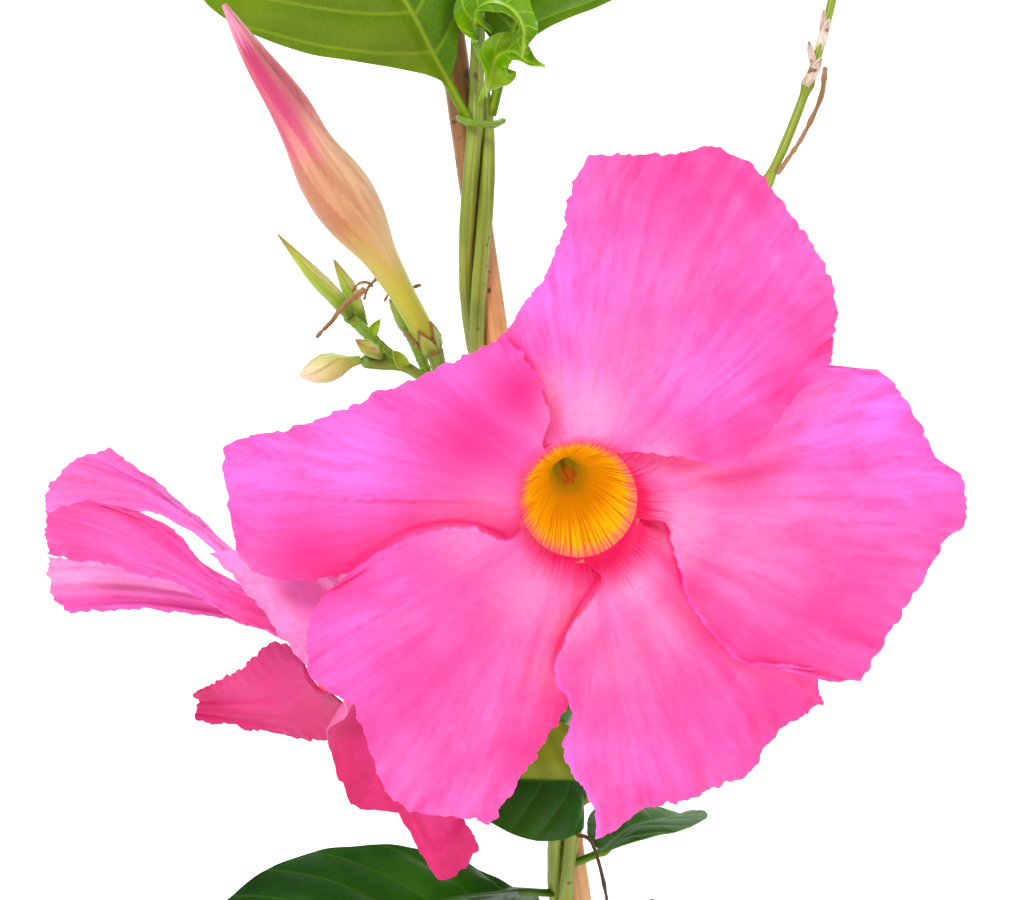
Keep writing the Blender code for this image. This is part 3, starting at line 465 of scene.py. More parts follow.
plant = {"caneFoot": (14.0, 0.0, 20.0), "caneTop": (-37.7, 0.0, 374.0), "caneRadius": 2.45,
    "stemRadius": 1.25, "coil": 3.95, "rate": 3.45, "start": (323.0, -105.0), "lead": 44.0,
    "footHeight": 90.0, "caneJoints": (64.0, 150.0, 232.0, 366.0),
    "leafJoints": (118, 139, 168, 203, 219, 248, 337), "stemTops": {"stemA": 341.0, "stemB": 343.0},
    "tip": [(-29.6, -5.6, 352), (-29.6, -6.2, 361), (-29.8, -6.4, 368.5)],
    "collar": [(-33.2, -5.2, 337.0), (-31.6, -6.8, 336.2), (-29.5, -7.2, 335.8), (-27.2, -6.4, 335.6),
        (-25.2, -3.8, 336.4)]}


def caneCentre(height):
    # the straight line from the cane's foot to its top, at this height
    foot, top = np.array(plant["caneFoot"]), np.array(plant["caneTop"])
    share = (np.asarray(height, float)[..., None] - foot[2]) / (top[2] - foot[2])
    return foot + (top - foot) * share


def twined(height, lead):
    # a helix round the cane: the angle grows evenly with height
    startHeight, startAngle = plant["start"]
    angle = np.radians(startAngle + plant["rate"] * (np.asarray(height, float) - startHeight) + lead)
    return caneCentre(height) + stacked(np.cos(angle), np.sin(angle), 0.0) * plant["coil"]


def onStem(where, toward, reach=1.1):
    # a point just inside the skin of stem a or b at a height, on the side of toward
    lead = 0.0 if where[0] == "a" else plant["lead"]
    middle = twined(where[1], lead)
    along = unit(twined(where[1] + 1.0, lead) - twined(where[1] - 1.0, lead))
    aside = np.array(toward, float) - middle
    return middle + unit(aside - along * (aside @ along)) * reach


def fixedLine(points):
    # a line whose first mark for a stem is turned to its position
    first = onStem(points[0], points[1]) if isinstance(points[0][0], str) else points[0]
    return [tuple(first)] + [tuple(p) for p in points[1:]]


def roundEnds(radii, share=0.012):
    # the radius falls to a third within this share of both ends, as a quarter circle
    s = np.linspace(0.0, 1.0, len(radii))
    near = np.clip(np.minimum(s, 1.0 - s) / share, 0.0, 1.0)
    return np.asarray(radii) * (0.3 + 0.7 * np.sqrt(1.0 - (1.0 - near) ** 2))


def buildCane():
    # a tube along the cane's centre line, with a ring and a shallow waist at each joint, and a top darkened
    # by painted shade
    heights = np.linspace(plant["caneFoot"][2], plant["caneTop"][2], 300)
    joints = sum(0.22 * np.exp(-((heights - h) / 1.6) ** 2)
                 - 0.12 * np.exp(-((heights - h - 3.2) / 2.0) ** 2) for h in plant["caneJoints"])
    taper = plant["caneRadius"] * (1.0 - 0.03 * np.linspace(0, 1, 300))
    radii = taper + 0.05 * wander(heights, 3, 40, 9) + joints - 0.05
    skin = tube(caneCentre(heights), radii, 40,
                lambda turn, s: 0.035 * np.sin(9 * turn + 2.0) + 0.02 * np.sin(23 * turn))
    # painted shade: the cane is darker from 296 mm up, where the leaves shade it
    skin[2]["aged"] = 0.7 * ramp(skin[0][:, 2], 296.0, 330.0)
    makePiece("caneStake", [skin], caneTan, ["cane"])


def buildStems():
    # each stem is a tube that swells at its leaf joints
    for name, lead, knots, seed in (("stemA", 0.0, 1.0, 11), ("stemB", plant["lead"], 0.6, 12)):
        path = twined(np.linspace(plant["footHeight"], plant["stemTops"][name], 330), lead)
        if name == "stemA":
            path = np.vstack([path, smoothLine([path[-1], *plant["tip"]], 40)[1:]])
        z = path[:, 2]
        joints = sum(0.5 * np.exp(-((z - h) / 2.4) ** 2) for h in plant["leafJoints"])
        taper = plant["stemRadius"] * (1.0 - 0.22 * ramp(z, 330.0, 368.0))
        taper = taper * (1.0 + 0.12 * ramp(200.0 - z, 0.0, 110.0))
        radii = roundEnds(taper + 0.35 * joints * knots + 0.05 * wander(z, seed, 30, 6))
        skin = tube(path, radii, 22, lambda turn, s: 0.06 * np.sin(4 * turn + 9 * s))
        makePiece(name, [skin], stemGreen, ["stem_" + name[-1].lower()])
    # the swollen collar that joins the two leaf stalks of the top joint round the front of the stems
    girth = roundEnds(0.6 + 0.1 * wander(np.linspace(0, 12, 60), 14, 5, 2), 0.12)
    collar = tube(smoothLine(plant["collar"], 60), girth, 14)
    makePiece("jointCollar", [collar], stalkGreen, [])


shoot = {
    "line": [("b", 257), (-14.5, 8.5, 266), (-7, 6.5, 280), (3.5, -5, 303), (11, -15, 317), (17, -22, 327),
        (23, -20.5, 341.5), (27, -18, 355), (30, -14.5, 371), (29.6, -11.2, 384), (28.8, -10.2, 393)],
    "bracts": [((22.6, -21.4, 341.6), (25.0, -22.6, 346.0), 0.7),
        ((24.0, -20.4, 344.6), (22.8, -21.8, 348.6), 0.5),
        ((24.6, -19.6, 347.0), (26.2, -21.0, 352.0), 0.6),
        ((25.4, -19.4, 349.4), (25.2, -21.4, 353.6), 0.45)]}


def bract(foot, tip, half, seed=0):
    # a small papery scale: a narrow leaf shape, cupped across and bent at its tip
    foot, tip = np.array(foot, float), np.array(tip, float)
    s, t = np.linspace(0, 1, 16)[:, None, None], np.linspace(-1, 1, 9)[None, :, None]
    along = unit(tip - foot)
    side = unit(np.cross(along, (0.0, -1.0, 0.2)))
    normal = np.cross(side, along)
    width = half * np.sin(np.pi * np.clip(0.12 + 0.88 * s, 0, 1) ** 0.8) ** 0.8 + 0.08
    bend = 0.5 * half * (t ** 2) + 0.25 * half * np.sin(5.0 * s + seed)
    surface = foot + (tip - foot) * s + side * t * width + normal * bend
    return thickSheet(surface, 0.18, {"place": stacked(0.1 * t, 4 * s, s)[..., 0, :]})


def buildShoot():
    # a thin tube that tapers, with a knot at each of its joints and papery scales beside them
    path = smoothLine(fixedLine(shoot["line"]), 260)
    s = np.linspace(0, 1, 260)
    joints = sum(0.35 * np.exp(-((s - at) / 0.008) ** 2) for at in (0.42, 0.55, 0.66, 0.8))
    radii = roundEnds(1.1 - 0.55 * s + joints + 0.04 * wander(s * 160, 5, 20, 4))
    makePiece("climbingShoot", [tube(path, radii, 16)], shootGreen, ["climbing_shoot"])
    scales = [bract(*spec, i) for i, spec in enumerate(shoot["bracts"])]
    makePiece("shootBracts", scales, dryPaper, [])


buildCane()
buildStems()
buildShoot()
print("cane, stems and shoot made")

# the open flower

# soft patches (x, y, radius, strength) in the flower's plane: the lilac ones are painted highlight where
# the petals face the light, the deep ones painted shade in curls and along overlaps, the pale ones
# the petal's own paler colour near the throat
flowerOne = {"centre": (-14.5, -70.0, 282.6), "axis": (0.05, -0.9985, -0.02), "throat": 8.5, "twist": 3.1,
    "twistOver": 1.5, "recurve": 4.0, "reach": 50.0,
    "highlight": [(-4, 30, 9, 0.9), (-2, 17, 6, 0.5), (-7, 21, 6, 0.8), (22, 14, 11, 0.6), (36, 12, 9, 0.85),
        (48, 4, 9, 0.6), (-32, 5, 12, 0.8), (-44, 3, 9, 0.8), (-20, 16, 9, 0.5), (30, 34, 8, 0.3),
        (-8, 40, 9, 0.5), (-24, -8, 7, 0.35), (10, -40, 6, 0.2)],
    "deep": [(-38, -9, 9, 0.75), (-24, -5, 6, 0.5), (20, 6, 6, 0.15), (-14, -14, 9, 0.5),
        (-26, -24, 9, 0.4), (-4, -28, 5, 0.45), (33, -22, 7, 0.4), (40, -12, 7, 0.3)],
    "pale": [(1, 13, 5.5, 0.95), (14, -3, 6, 0.8), (8, -15, 5, 0.35), (-7, -13, 6, 0.6), (-1, -16, 5, 0.6),
        (-16, -4, 6, 0.4), (11, 6, 4, 0.6), (5, 20, 7, 0.25), (6, -22, 6, 0.35), (-8, -20, 6, 0.15),
        (24, -5, 10, 0.35)],
    "petals": {
        "petalTop": {"base": (128, 58), "seed": 21, "cup": 1.2, "folds": [(0.17, 1.5, 0.06)],
            "spots": {"highlight": [(-6, 24, 4, 0.6)],
                "deep": [(16, 8.5, 5, 0.6), (23, 9, 6, 0.75), (29, 15, 6, 0.75), (33, 21, 5, 0.5),
                    (20, 44, 9, 0.35)], "pale": [(-3, 15, 4.5, 0.8)]},
            "trail": ((-8.5, 12), (-10.5, 19.5), (-9.5, 24.5), (-5.5, 30), (-2.5, 36), (-1, 43), (1.5, 48)),
            "tip": ((1.5, 48), (8, 48), (15, 48.5), (19, 49), (24, 46.5), (30, 39), (34.5, 32),
                (35.5, 25.5), (34.5, 19)),
            "lead": ((8.5, 7.5), (15.5, 6.5), (20.5, 5.5), (25, 9), (30.5, 15.5), (34.5, 19))},
        "petalRight": {"base": (58, -14), "seed": 22, "cup": -1.0, "folds": [(0.45, -1.0, 0.12)],
            "spots": {"highlight": [(29, 13, 6, 1.0), (36, 16, 8, 1.0), (43, 12, 8, 0.9), (52, 2, 5, 0.7)],
                "deep": [(16, -12, 4.5, 0.75), (20, -18, 5, 0.65), (26, -22, 6, 0.6), (38, -18, 7, 0.4)],
                "pale": [(16, 3, 6, 0.55), (26, 11, 6, 0.4), (33, 15, 5, 0.3)]},
            "trail": ((10, 8.5), (19.5, 13.5), (30.5, 18.5), (39, 18)),
            "tip": ((39, 18), (44, 17), (49, 10.5), (51.5, 5.5), (56, 1.5), (56.5, -4), (53.5, -7.5),
                (48, -15.5), (44.5, -21), (40.5, -26), (36.5, -26.5), (33.5, -24.5)),
            "lead": ((12, -2.5), (13.5, -7.5), (15.5, -14), (20, -20), (23.5, -23), (28.5, -23.5),
                (33.5, -24.5))},
        "petalLowerRight": {"base": (-14, -82), "seed": 23, "cup": 1.0,
            "spots": {"highlight": [(-2, -36, 4, 0.5), (20, -36, 6, 0.3)],
                "deep": [(1, -21, 4.5, 0.6), (3, -29, 6, 0.35), (30, -31, 8, 0.5), (15, -29, 9, 0.4),
                    (20, -36, 8, 0.35)],
                "pale": [(8, -12, 4.5, 0.7), (12, -18, 5, 0.5)]}, "folds": [(0.6, 1.0, 0.1)],
            "trail": ((13.5, -2.5), (22, -10.5), (31, -18.5), (36.5, -31.5)),
            "tip": ((36.5, -31.5), (32, -33.5), (28.5, -36), (25.5, -40), (22, -42), (13.5, -44),
                (7.5, -46.5), (3, -49.5)),
            "lead": ((3, -11), (-1.5, -18), (-3.5, -24), (-1, -29.5), (-2, -36.5), (2, -43.5), (3, -49.5))},
        "petalLowerLeft": {"base": (-82, -152), "seed": 24, "cup": 1.4,
            "spots": {"highlight": [(-34, -18, 6, 0.6), (-32, -24, 6, 0.5)],
                "deep": [(-20, -8, 6, 0.5), (-7, -38, 6, 0.5)],
                "pale": [(-1, -17, 4.5, 0.75), (-3, -24, 4.5, 0.55)]},
            "folds": [(0.3, 1.2, 0.1), (0.75, -0.8, 0.1)],
            "trail": ((4.5, -13.5), (4, -20.5), (0, -28.5), (-5.5, -37.5), (-12.5, -49.5)),
            "tip": ((-12.5, -49.5), (-16.5, -47.5), (-23.5, -46.5), (-27.5, -42), (-31, -32), (-32, -29),
                (-37, -26), (-38.5, -21.5), (-37, -14.5), (-32.5, -9.5)),
            "lead": ((-10.5, -5), (-14, -3.5), (-18, -3), (-23, -4), (-28, -6.5), (-32.5, -9.5))},
        "petalLeft": {"base": (208, 128), "seed": 25, "cup": -0.8, "folds": [(0.7, -1.2, 0.12)],
            "spots": {"highlight": [(-30, 10, 8, 0.5), (-18, 17, 6, 0.6)],
                "deep": [(-8, 16, 6, 1.0), (-15, 9, 8, 0.85), (-30, -9, 8, 0.6)],
                "pale": [(-13, -1, 5, 0.4)]},
            "trail": ((-11, -6), (-21, -8.5), (-34, -11), (-40, -11.8), (-45, -11.2), (-48, -9.5)),
            "tip": ((-48, -9.5), (-49.3, -3), (-49.6, 1), (-50, 5), (-48.5, 8), (-39, 10.5), (-25, 16.5),
                (-15.5, 21), (-11, 23.5)),
            "lead": ((-5.4, 9.2), (-4.5, 12), (-5, 14.5), (-7, 19.5), (-11, 23.5))}}}


def blendEdges(base, tip, trail, lead):
    # a surface between four edges: the two ruled surfaces added, less the flat blend of the corners;
    # rows run from base to tip and columns from the trailing to the leading edge
    s = np.linspace(0.0, 1.0, len(trail))[:, None, None]
    t = np.linspace(0.0, 1.0, len(base))[None, :, None]
    ruled = (1 - s) * base[None] + s * tip[None] + (1 - t) * trail[:, None] + t * lead[:, None]
    return ruled - (1 - s) * ((1 - t) * base[0] + t * base[-1]) - s * ((1 - t) * tip[0] + t * tip[-1])


def softSpots(x, y, spots):
    # the strongest of several round patches, each fading as a bell curve
    return np.max([strength * np.exp(-((x - cx) ** 2 + (y - cy) ** 2) / radius ** 2)
                   for cx, cy, radius, strength in spots], axis=0)


def crimp(surface, s, t, seed, size):
    # small teeth: each margin is moved in and out along the surface, less and less away from it
    moved = surface.copy()
    margins = ((0, s ** 14, surface[-1]), (1, t ** 14, surface[:, -1]), (1, (1 - t) ** 14, surface[:, 0]))
    for axis, share, line in margins:
        length = lengthAlong(line)
        teeth = wander(length, seed + axis, 9.0, 1.6, 9) + 0.8 * np.abs(wander(length, seed + 5, 3.2, 1.3))
        outward = unit(np.gradient(surface, axis=axis))
        spread = teeth[None, :, None] if axis == 0 else teeth[:, None, None]
        fade = ramp(s, 0.04, 0.2) if axis == 1 else 1.0
        moved += outward * spread * share * fade * size * (-1 if share[0, 0] > 0.5 and axis == 1 else 1)
    return moved


def petalGrid(spec, base, rows, columns, teeth):
    # shares along and across a petal, and the surface between its four edges, with toothed margins
    trail = smoothLine([tuple(base[0]), *spec["trail"]], rows)
    lead = smoothLine([tuple(base[-1]), *spec["lead"]], rows)
    surface = blendEdges(base, smoothLine(spec["tip"], columns), trail, lead)
    s, t = np.meshgrid(np.linspace(0, 1, rows), np.linspace(0, 1, columns), indexing="ij")
    return s, t, crimp(surface, s[..., None], t[..., None], spec["seed"], teeth)


def flowerFrame(axis):
    # the viewer's right, the viewer's up and the outward axis of a flower seen from its front
    outward = unit(np.array(axis, float))
    right = unit(np.cross((0.0, 0.0, 1.0), outward))
    return right, np.cross(outward, right), outward


def openPetal(spec, flower, cover, rows=100, columns=100):
    # the flat outline, then a height: tilted so that the leading edge stands in front, sunk into the
    # throat, bent back at the tip, with folds that run out from the throat and a ruffled margin
    angle = np.radians(np.linspace(spec["base"][0] + 9.0, spec["base"][1] - 3.0, columns))
    base = np.stack([np.cos(angle), np.sin(angle)], axis=-1) * flower["throat"]
    s, t, plane = petalGrid(spec, base, rows, columns, 0.4)
    x, y = plane[..., 0], plane[..., 1]
    reach = np.hypot(x, y)
    away = reach - flower["throat"]
    height = flower["twist"] * (2 * t - 1) * (1 - 0.85 * np.exp(-np.maximum(away, 0) / flower["twistOver"]))
    height -= flower["recurve"] * (reach / flower["reach"]) ** 2 + 2.0 * np.exp(-np.maximum(away, 0) / 0.9)
    grown = ramp(away, 0.0, 22.0)
    height += spec["cup"] * np.sin(np.pi * t) * grown
    height += sum(size * np.exp(-((t - at) / width) ** 2) * grown for at, size, width in spec["folds"])
    angleHere = np.arctan2(y, x)
    height += 0.55 * grown * wander(angleHere * 40.0, spec["seed"] + 7, 22.0, 7.0, 6)
    edge = lengthAlong(plane[-1])[None, :]
    rolled = 0.6 + 0.4 * wander(25.0 * s, spec["seed"] + 4, 9, 3)
    height += 0.5 * ramp(t, 0.93, 1.0) * ramp(s, 0.2, 0.5) * rolled
    height += 0.9 * s ** 6 * wander(edge + 0 * s, spec["seed"] + 9, 13.0, 3.2, 6)
    dents = wander(x * 0.8 + y * 0.6, spec["seed"] + 3, 16, 5, 5)
    height += 0.25 * np.sin(np.pi * t) * ramp(reach, 12, 30) * dents
    right, up, outward = flowerFrame(flower["axis"])
    surface = np.array(flower["centre"]) + x[..., None] * right + y[..., None] * up
    surface = surface + height[..., None] * outward
    turn = np.unwrap(angleHere, axis=1) / fullTurn
    ring = reach - 2.6 * np.cos(angleHere + 0.8)
    own = spec["spots"]
    tint = np.stack([softSpots(x, y, flower[key] + own[key]) for key in ("highlight", "deep", "pale")], axis=-1)
    # painted highlight: a lilac strip along the leading margin, where the raised edge catches the light
    tint[..., 0] = np.maximum(tint[..., 0], 0.6 * ramp(t, 0.968, 0.995) * ramp(s, 0.1, 0.3))
    # painted contact shadow: a deep line, 0.45 mm wide, where the neighbour's leading edge lies on this
    # petal, with a wider soft painted shade; the lilac highlight and the pale colour are dimmed under it
    near = np.min(np.hypot(x[..., None] - cover[:, 0], y[..., None] - cover[:, 1]), axis=-1)
    contactShadow = np.exp(-(near / 0.45) ** 2)
    tint[..., 1] = np.maximum(tint[..., 1], 0.55 * contactShadow + 0.3 * np.exp(-(near / 2.5) ** 2))
    tint[..., 0] *= 1.0 - 0.8 * contactShadow
    tint[..., 2] *= 1.0 - 0.8 * contactShadow
    marks = {"place": stacked(turn, reach, ring), "tint": tint}
    return thickSheet(surface, 0.5 - 0.2 * s, marks)


tubeShape = {"length": 48.0, "rows": {"outer": 60, "inner": 70}, "columns": 120,
    "outer": [(9.2, 1.9), (8.9, 2.6), (8.4, 4.2), (7.9, 7.0), (7.3, 11.0), (6.7, 15.0), (5.6, 20.0),
        (3.9, 25.0), (2.9, 29.0), (2.4, 34.0), (2.2, 45.5)],
    "inner": [(1.6, 45.5), (1.6, 34.0), (1.8, 28.0), (2.3, 24.0), (3.2, 20.0), (4.3, 16.0), (5.4, 12.0),
        (6.4, 8.0), (7.2, 4.8), (7.9, 3.0), (8.5, 2.2), (9.0, 1.6)]}


def corollaTube(name, flower, node):
    # the funnel's outer and inner walls as one closed profile, carried round the flower's axis
    outward, length = unit(np.array(flower["axis"])), tubeShape["length"]
    foot = np.array(flower["centre"]) - outward * length
    outer, inner = (smoothLine(tubeShape[wall], count)[::-1] for wall, count in tubeShape["rows"].items())
    profile = np.vstack([outer, inner])
    profile[:, 1] = length - profile[:, 1]
    points, faces, marks = spun(profile, foot, outward, tubeShape["columns"], True,
                                lambda turn, height: 0.1 * np.sin(5 * turn) * ramp(length - height, 2, 12))
    depth = length - marks["place"][:, 1]
    right, up, _ = flowerFrame(outward)
    spoke = unit((points - foot) - ((points - foot) @ outward)[:, None] * outward)
    lean = 0.5 * (spoke @ right * math.cos(0.9) - spoke @ up * math.sin(0.9))
    marks["place"] = np.column_stack([marks["place"][:, 0], depth, depth + lean])
    marks["outside"] = np.repeat(np.arange(len(profile)) < len(outer), tubeShape["columns"]).astype(float)
    makePiece(name, [(points, faces, marks)], throatYellow, [node])


def calyx(name, foot, axis, node, size=1.0, cup=3.2, sepal=8.5, finish=calyxGreen):
    # a cup whose upper edge is cut into five points: the height of each column is set by its angle
    outward, turn = unit(np.array(axis, float)), np.linspace(0.0, fullTurn, 101)
    side = unit(np.cross((0.0, 0.0, 1.0), outward))
    other = np.cross(outward, side)
    s = np.linspace(0.0, 1.0, 30)[:, None]
    point = 1.0 - np.abs(((turn / fullTurn * 5.0) % 1.0) * 2.0 - 1.0)
    top = (cup + (sepal - cup) * point ** 0.85)[None, :]
    radius = size * (1.1 + 1.75 * np.sin(np.pi * 0.5 * np.clip(s * 2.2, 0, 1)) + 0.75 * s ** 3)
    height = s * top * size
    ring = radius[..., None] * (side * np.cos(turn)[:, None] + other * np.sin(turn)[:, None])[None]
    surface = np.array(foot) + ring + outward * height[..., None]
    place = stacked(turn / 6.283, height, s)
    # painted shade: darker along the notches between the sepals
    crease = 0.55 * (1.0 - ramp(point, 0.0, 0.2))[None, :] * ramp(s, 0.2, 0.9)
    sheet = thickSheet(surface, 0.4, {"place": place, "crease": crease})
    knob = spun([(0.8, -0.6), (1.4, 0.0), (1.7, 0.8), (1.5, 1.6)], foot, outward, 24)
    sheet[2].pop("underside")
    knob[2]["crease"] = np.zeros(len(knob[0]))
    makePiece(name, [sheet, knob], finish, [node])


def antherCone(name, flower, node):
    # five anthers joined in a cone on a thread-like style, deep in the funnel
    outward = unit(np.array(flower["axis"]))
    foot = np.array(flower["centre"]) - outward * tubeShape["length"]
    profile = smoothLine([(0.45, 3.0), (0.5, 22.0), (0.9, 23.6), (1.25, 26.0), (1.0, 28.5), (0.6, 30.0),
                          (0.2, 31.0)], 60)
    points, faces, marks = spun(profile, foot, outward, 40, False,
                                lambda turn, height: 0.12 * np.sin(5 * turn) * ramp(height, 22.5, 24.5))
    # painted shade in the grooves between the anthers
    marks["crease"] = 0.5 * (np.sin(5 * fullTurn * marks["place"][:, 0]) < -0.3)
    marks["place"] = np.column_stack([marks["place"][:, :2], marks["place"][:, 1] / 31.0])
    makePiece(name, [(points, faces, marks)], antherTan, [node])


def flowerHeart(name, flower, node, finish):
    # the funnel, what stands in it, and the calyx at its foot
    corollaTube(name + "_corollaTube", flower, node + "_corolla_tube")
    antherCone(name + "_antherCone", flower, node + "_anther_cone")
    axis = unit(np.array(flower["axis"]))
    foot = np.array(flower["centre"]) - axis * tubeShape["length"]
    calyx(name + "_calyx", foot, axis, node + "_calyx", finish=finish)


# the neighbour's leading edge that lies over each petal, where its painted contact shadow falls
cover = smoothLine(flowerOne["petals"]["petalLeft"]["lead"], 160)
for name, spec in flowerOne["petals"].items():
    petal = openPetal(spec, flowerOne, cover)
    makePiece("flowerOne_" + name, [petal], pinkPetal, ["flower_1_" + cadName(name)])
    cover = smoothLine(spec["lead"], 160)
flowerHeart("flowerOne", flowerOne, "flower_1", calyxGreen)
print("open flower made")

# the older flower behind

flowerTwo = {"centre": (-51.9, -36.0, 255.8), "axis": (-0.797, -0.478, 0.372), "throat": 9.3,
    "petals": {
        "petalUpper": {"base": (150, 82), "seed": 41, "ruffle": 0.4,
            "tint": ((0.95, 0.0, 0.2), (0.8, 0.0, 0.3)),
            "trail": ((-58.1, -30, 261.9), (-68.3, -28, 266.8), (-79.5, -28, 277.5), (-88, -30, 284.5)),
            "tip": ((-88, -30, 284.5), (-93, -30, 282.8), (-96.8, -31, 279.2), (-97.7, -32, 276.2),
                (-96.9, -33, 273)),
            "lead": ((-59.5, -32, 261.1), (-68.5, -31.5, 266.5), (-74.2, -31, 271.2), (-81.4, -31, 274.4),
                (-89.2, -32, 274.4), (-96.9, -33, 273))},
        "petalNear": {"base": (78, 10), "seed": 42, "ruffle": 0.7, "rootShade": 0.7,
            "tint": ((0.0, 0.12, 0.0), (0.2, 0.2, 0.0)),
            "trail": ((-57.4, -41, 262.5), (-65.9, -45, 264.9), (-70.1, -47, 268.4), (-73.5, -47, 272.7),
                (-77.4, -46, 275.8), (-82.8, -45, 277.6)),
            "tip": ((-82.8, -45, 277.6), (-89.1, -44, 278.2), (-94.6, -42, 276.5), (-95.8, -41, 273.5),
                (-95.8, -40, 269.7)),
            "lead": ((-58.4, -44, 257.9), (-67.4, -44, 260.9), (-74.3, -43, 264.8), (-82.2, -41.5, 267.3),
                (-95.8, -40, 269.7))},
        "petalFront": {"base": (6, -62), "seed": 43, "ruffle": 0.4,
            "tint": ((0.8, 0.0, 0.6), (0.0, 0.8, 0.0)),
            "trail": ((-49.3, -46, 268.6), (-55.6, -52, 272), (-62.1, -54, 273.1), (-68.5, -54, 272.3)),
            "tip": ((-68.5, -54, 272.3), (-61.8, -57, 265.9), (-55.9, -58.5, 258.4), (-48.6, -57.5, 250),
                (-51.5, -52, 243.6), (-48.6, -48, 232.5), (-41.5, -46, 229.5), (-35.1, -45, 219),
                (-29, -45, 223.5)),
            "lead": ((-45.5, -42.5, 246.5), (-36.5, -46, 238.5), (-29, -45, 223.5))},
        "petalDrooping": {"base": (-66, -134), "seed": 44, "ruffle": 0.3, "pleat": 0.15,
            "tint": ((0.0, 0.95, 0.0), (0.0, 0.8, 0.0)),
            "trail": ((-50.5, -36, 243.5), (-54.5, -29, 237), (-66.5, -21, 236.5), (-77.5, -15, 236.5)),
            "tip": ((-77.5, -15, 236.5), (-76.7, -15, 239), (-77.4, -15.5, 241)),
            "lead": ((-58.3, -31, 252), (-63.3, -28, 252.4), (-68, -24.5, 247.5), (-77.4, -15.5, 241))},
        "petalFar": {"base": (222, 154), "seed": 45, "ruffle": 0.3, "pleat": 0.3,
            "tint": ((0.3, 0.0, 0.0), (0.6, 0.0, 0.95)),
            "trail": ((-59, -28, 252.5), (-68.7, -28, 256.3), (-82.1, -29, 258.5), (-95.1, -30, 258.2)),
            "tip": ((-95.1, -30, 258.2), (-96.8, -30, 260.1), (-98.1, -29, 263.2), (-98.3, -28, 266.3)),
            "lead": ((-58.8, -26, 256.5), (-67.9, -27, 260.3), (-75.9, -27, 263.6), (-88.7, -27, 266.1),
                (-98.3, -28, 266.3))}}}


def foldedPetal(spec, flower, rows=76, columns=76):
    # the surface between four edges given in space, ruffled along its normal towards the margins
    right, up, _ = flowerFrame(flower["axis"])
    angle = np.radians(np.linspace(spec["base"][0] + 1.0, spec["base"][1] - 1.0, columns))[:, None]
    base = np.array(flower["centre"]) + (right * np.cos(angle) + up * np.sin(angle)) * flower["throat"]
    s, t, surface = petalGrid(spec, base, rows, columns, 0.45)
    normal = unit(np.cross(np.gradient(surface, axis=0), np.gradient(surface, axis=1)))
    length = 45.0 * s
    sides = ramp(np.abs(2 * t - 1), 0.4, 1.0) * wander(length + 7 * (t > 0.5), spec["seed"], 15, 4)
    ruffle = spec["ruffle"] * (sides + 0.7 * s ** 3 * wander(30 * t, spec["seed"] + 2, 12, 4))
    folds = spec.get("pleat", 0.5) * wander(t * 16.0, spec["seed"] + 5, 9, 3, 5) * ramp(s, 0.05, 0.5)
    surface = surface + normal * ((ruffle + folds) * ramp(s, 0.0, 0.25))[..., None]
    # shares: lilac painted highlight in wandering patches, deep painted shade towards the tip and the root,
    # and pale
    first, last = (np.array(tone) for tone in spec["tint"])
    lightShadePale = first + (last - first) * ramp(t, 0.25, 0.6)[..., None]
    lightShadePale[..., 0] += 0.35 * np.clip(wander(length + 20 * t, spec["seed"] + 8, 30, 10), 0, 1)
    lightShadePale[..., 1] += 0.3 * ramp(s, 0.6, 1.0) + spec.get("rootShade", 0.0) * (1.0 - ramp(s, 0.1, 0.55))
    place = stacked(t * 0.2 + spec["seed"], 11.5 + length, 11.0 + length)
    return thickSheet(surface, 0.45 - 0.15 * s, {"place": place, "tint": np.clip(lightShadePale, 0, 1)})


for name, spec in flowerTwo["petals"].items():
    petal = foldedPetal(spec, flowerTwo)
    makePiece("flowerTwo_" + name, [petal], fadedPetal, ["flower_2_" + cadName(name)])
flowerHeart("flowerTwo", flowerTwo, "flower_2", calyxDark)
print("older flower made")

# flower stalks and buds

stalks = {
    "flowerClusterOne": {"node": "flower_cluster_1",
        "lines": [
            (
                [("a", 246.5), (-19.0, -8.5, 256), (-25.5, -13.5, 266), (-29.5, -19, 279),
                    (-34.5, -25, 291), (-40, -28.5, 297), (-45.0, -30, 298.3), (-48.0, -30.4, 298.6)], 1.25,
                0.85),
            (
                [(-31.5, -21.5, 284), (-28.5, -20.5, 288), (-23, -20.0, 287), (-16.95, -20.8, 283.6),
                    (-16.9, -22.0, 283.56)], 1.1, 1.3),
            ([(-34.5, -25, 291), (-35.0, -27.6, 294.5), (-35.8, -29.7, 298.6), (-36.3, -30.2, 300.1)], 1.0,
                1.3),
            ([(-41.5, -29.0, 297.6), (-45, -29.5, 301), (-49.0, -29.5, 305.0), (-49.6, -29.8, 305.7)], 0.95,
                0.9),
            ([(-36.5, -26.5, 293.5), (-38.2, -26.6, 298), (-40.0, -26.2, 302.2), (-40.3, -26.1, 303.0)],
                0.85, 0.9)]},
    "flowerClusterTwo": {"node": "flower_cluster_2",
        "lines": [
            ([("a", 231.0), (-13.5, -8.0, 234.0), (-12.6, -12.3, 237.2), (-13.7, -13.1, 238.0)], 1.2,
                1.35)]},
    "bracts": [((-31.0, -21.9, 284.2), (-31.6, -24.0, 288.6), 1.0),
        ((-41.0, -29.6, 297.8), (-42.6, -32.0, 300.4), 0.9),
        ((-44.8, -30.6, 299.6), (-46.6, -33.4, 301.6), 0.8),
        ((-36.0, -26.8, 292.6), (-38.6, -29.0, 293.2), 0.9),
        ((-46.4, -29.8, 302.4), (-44.6, -31.0, 305.2), 0.7)]}
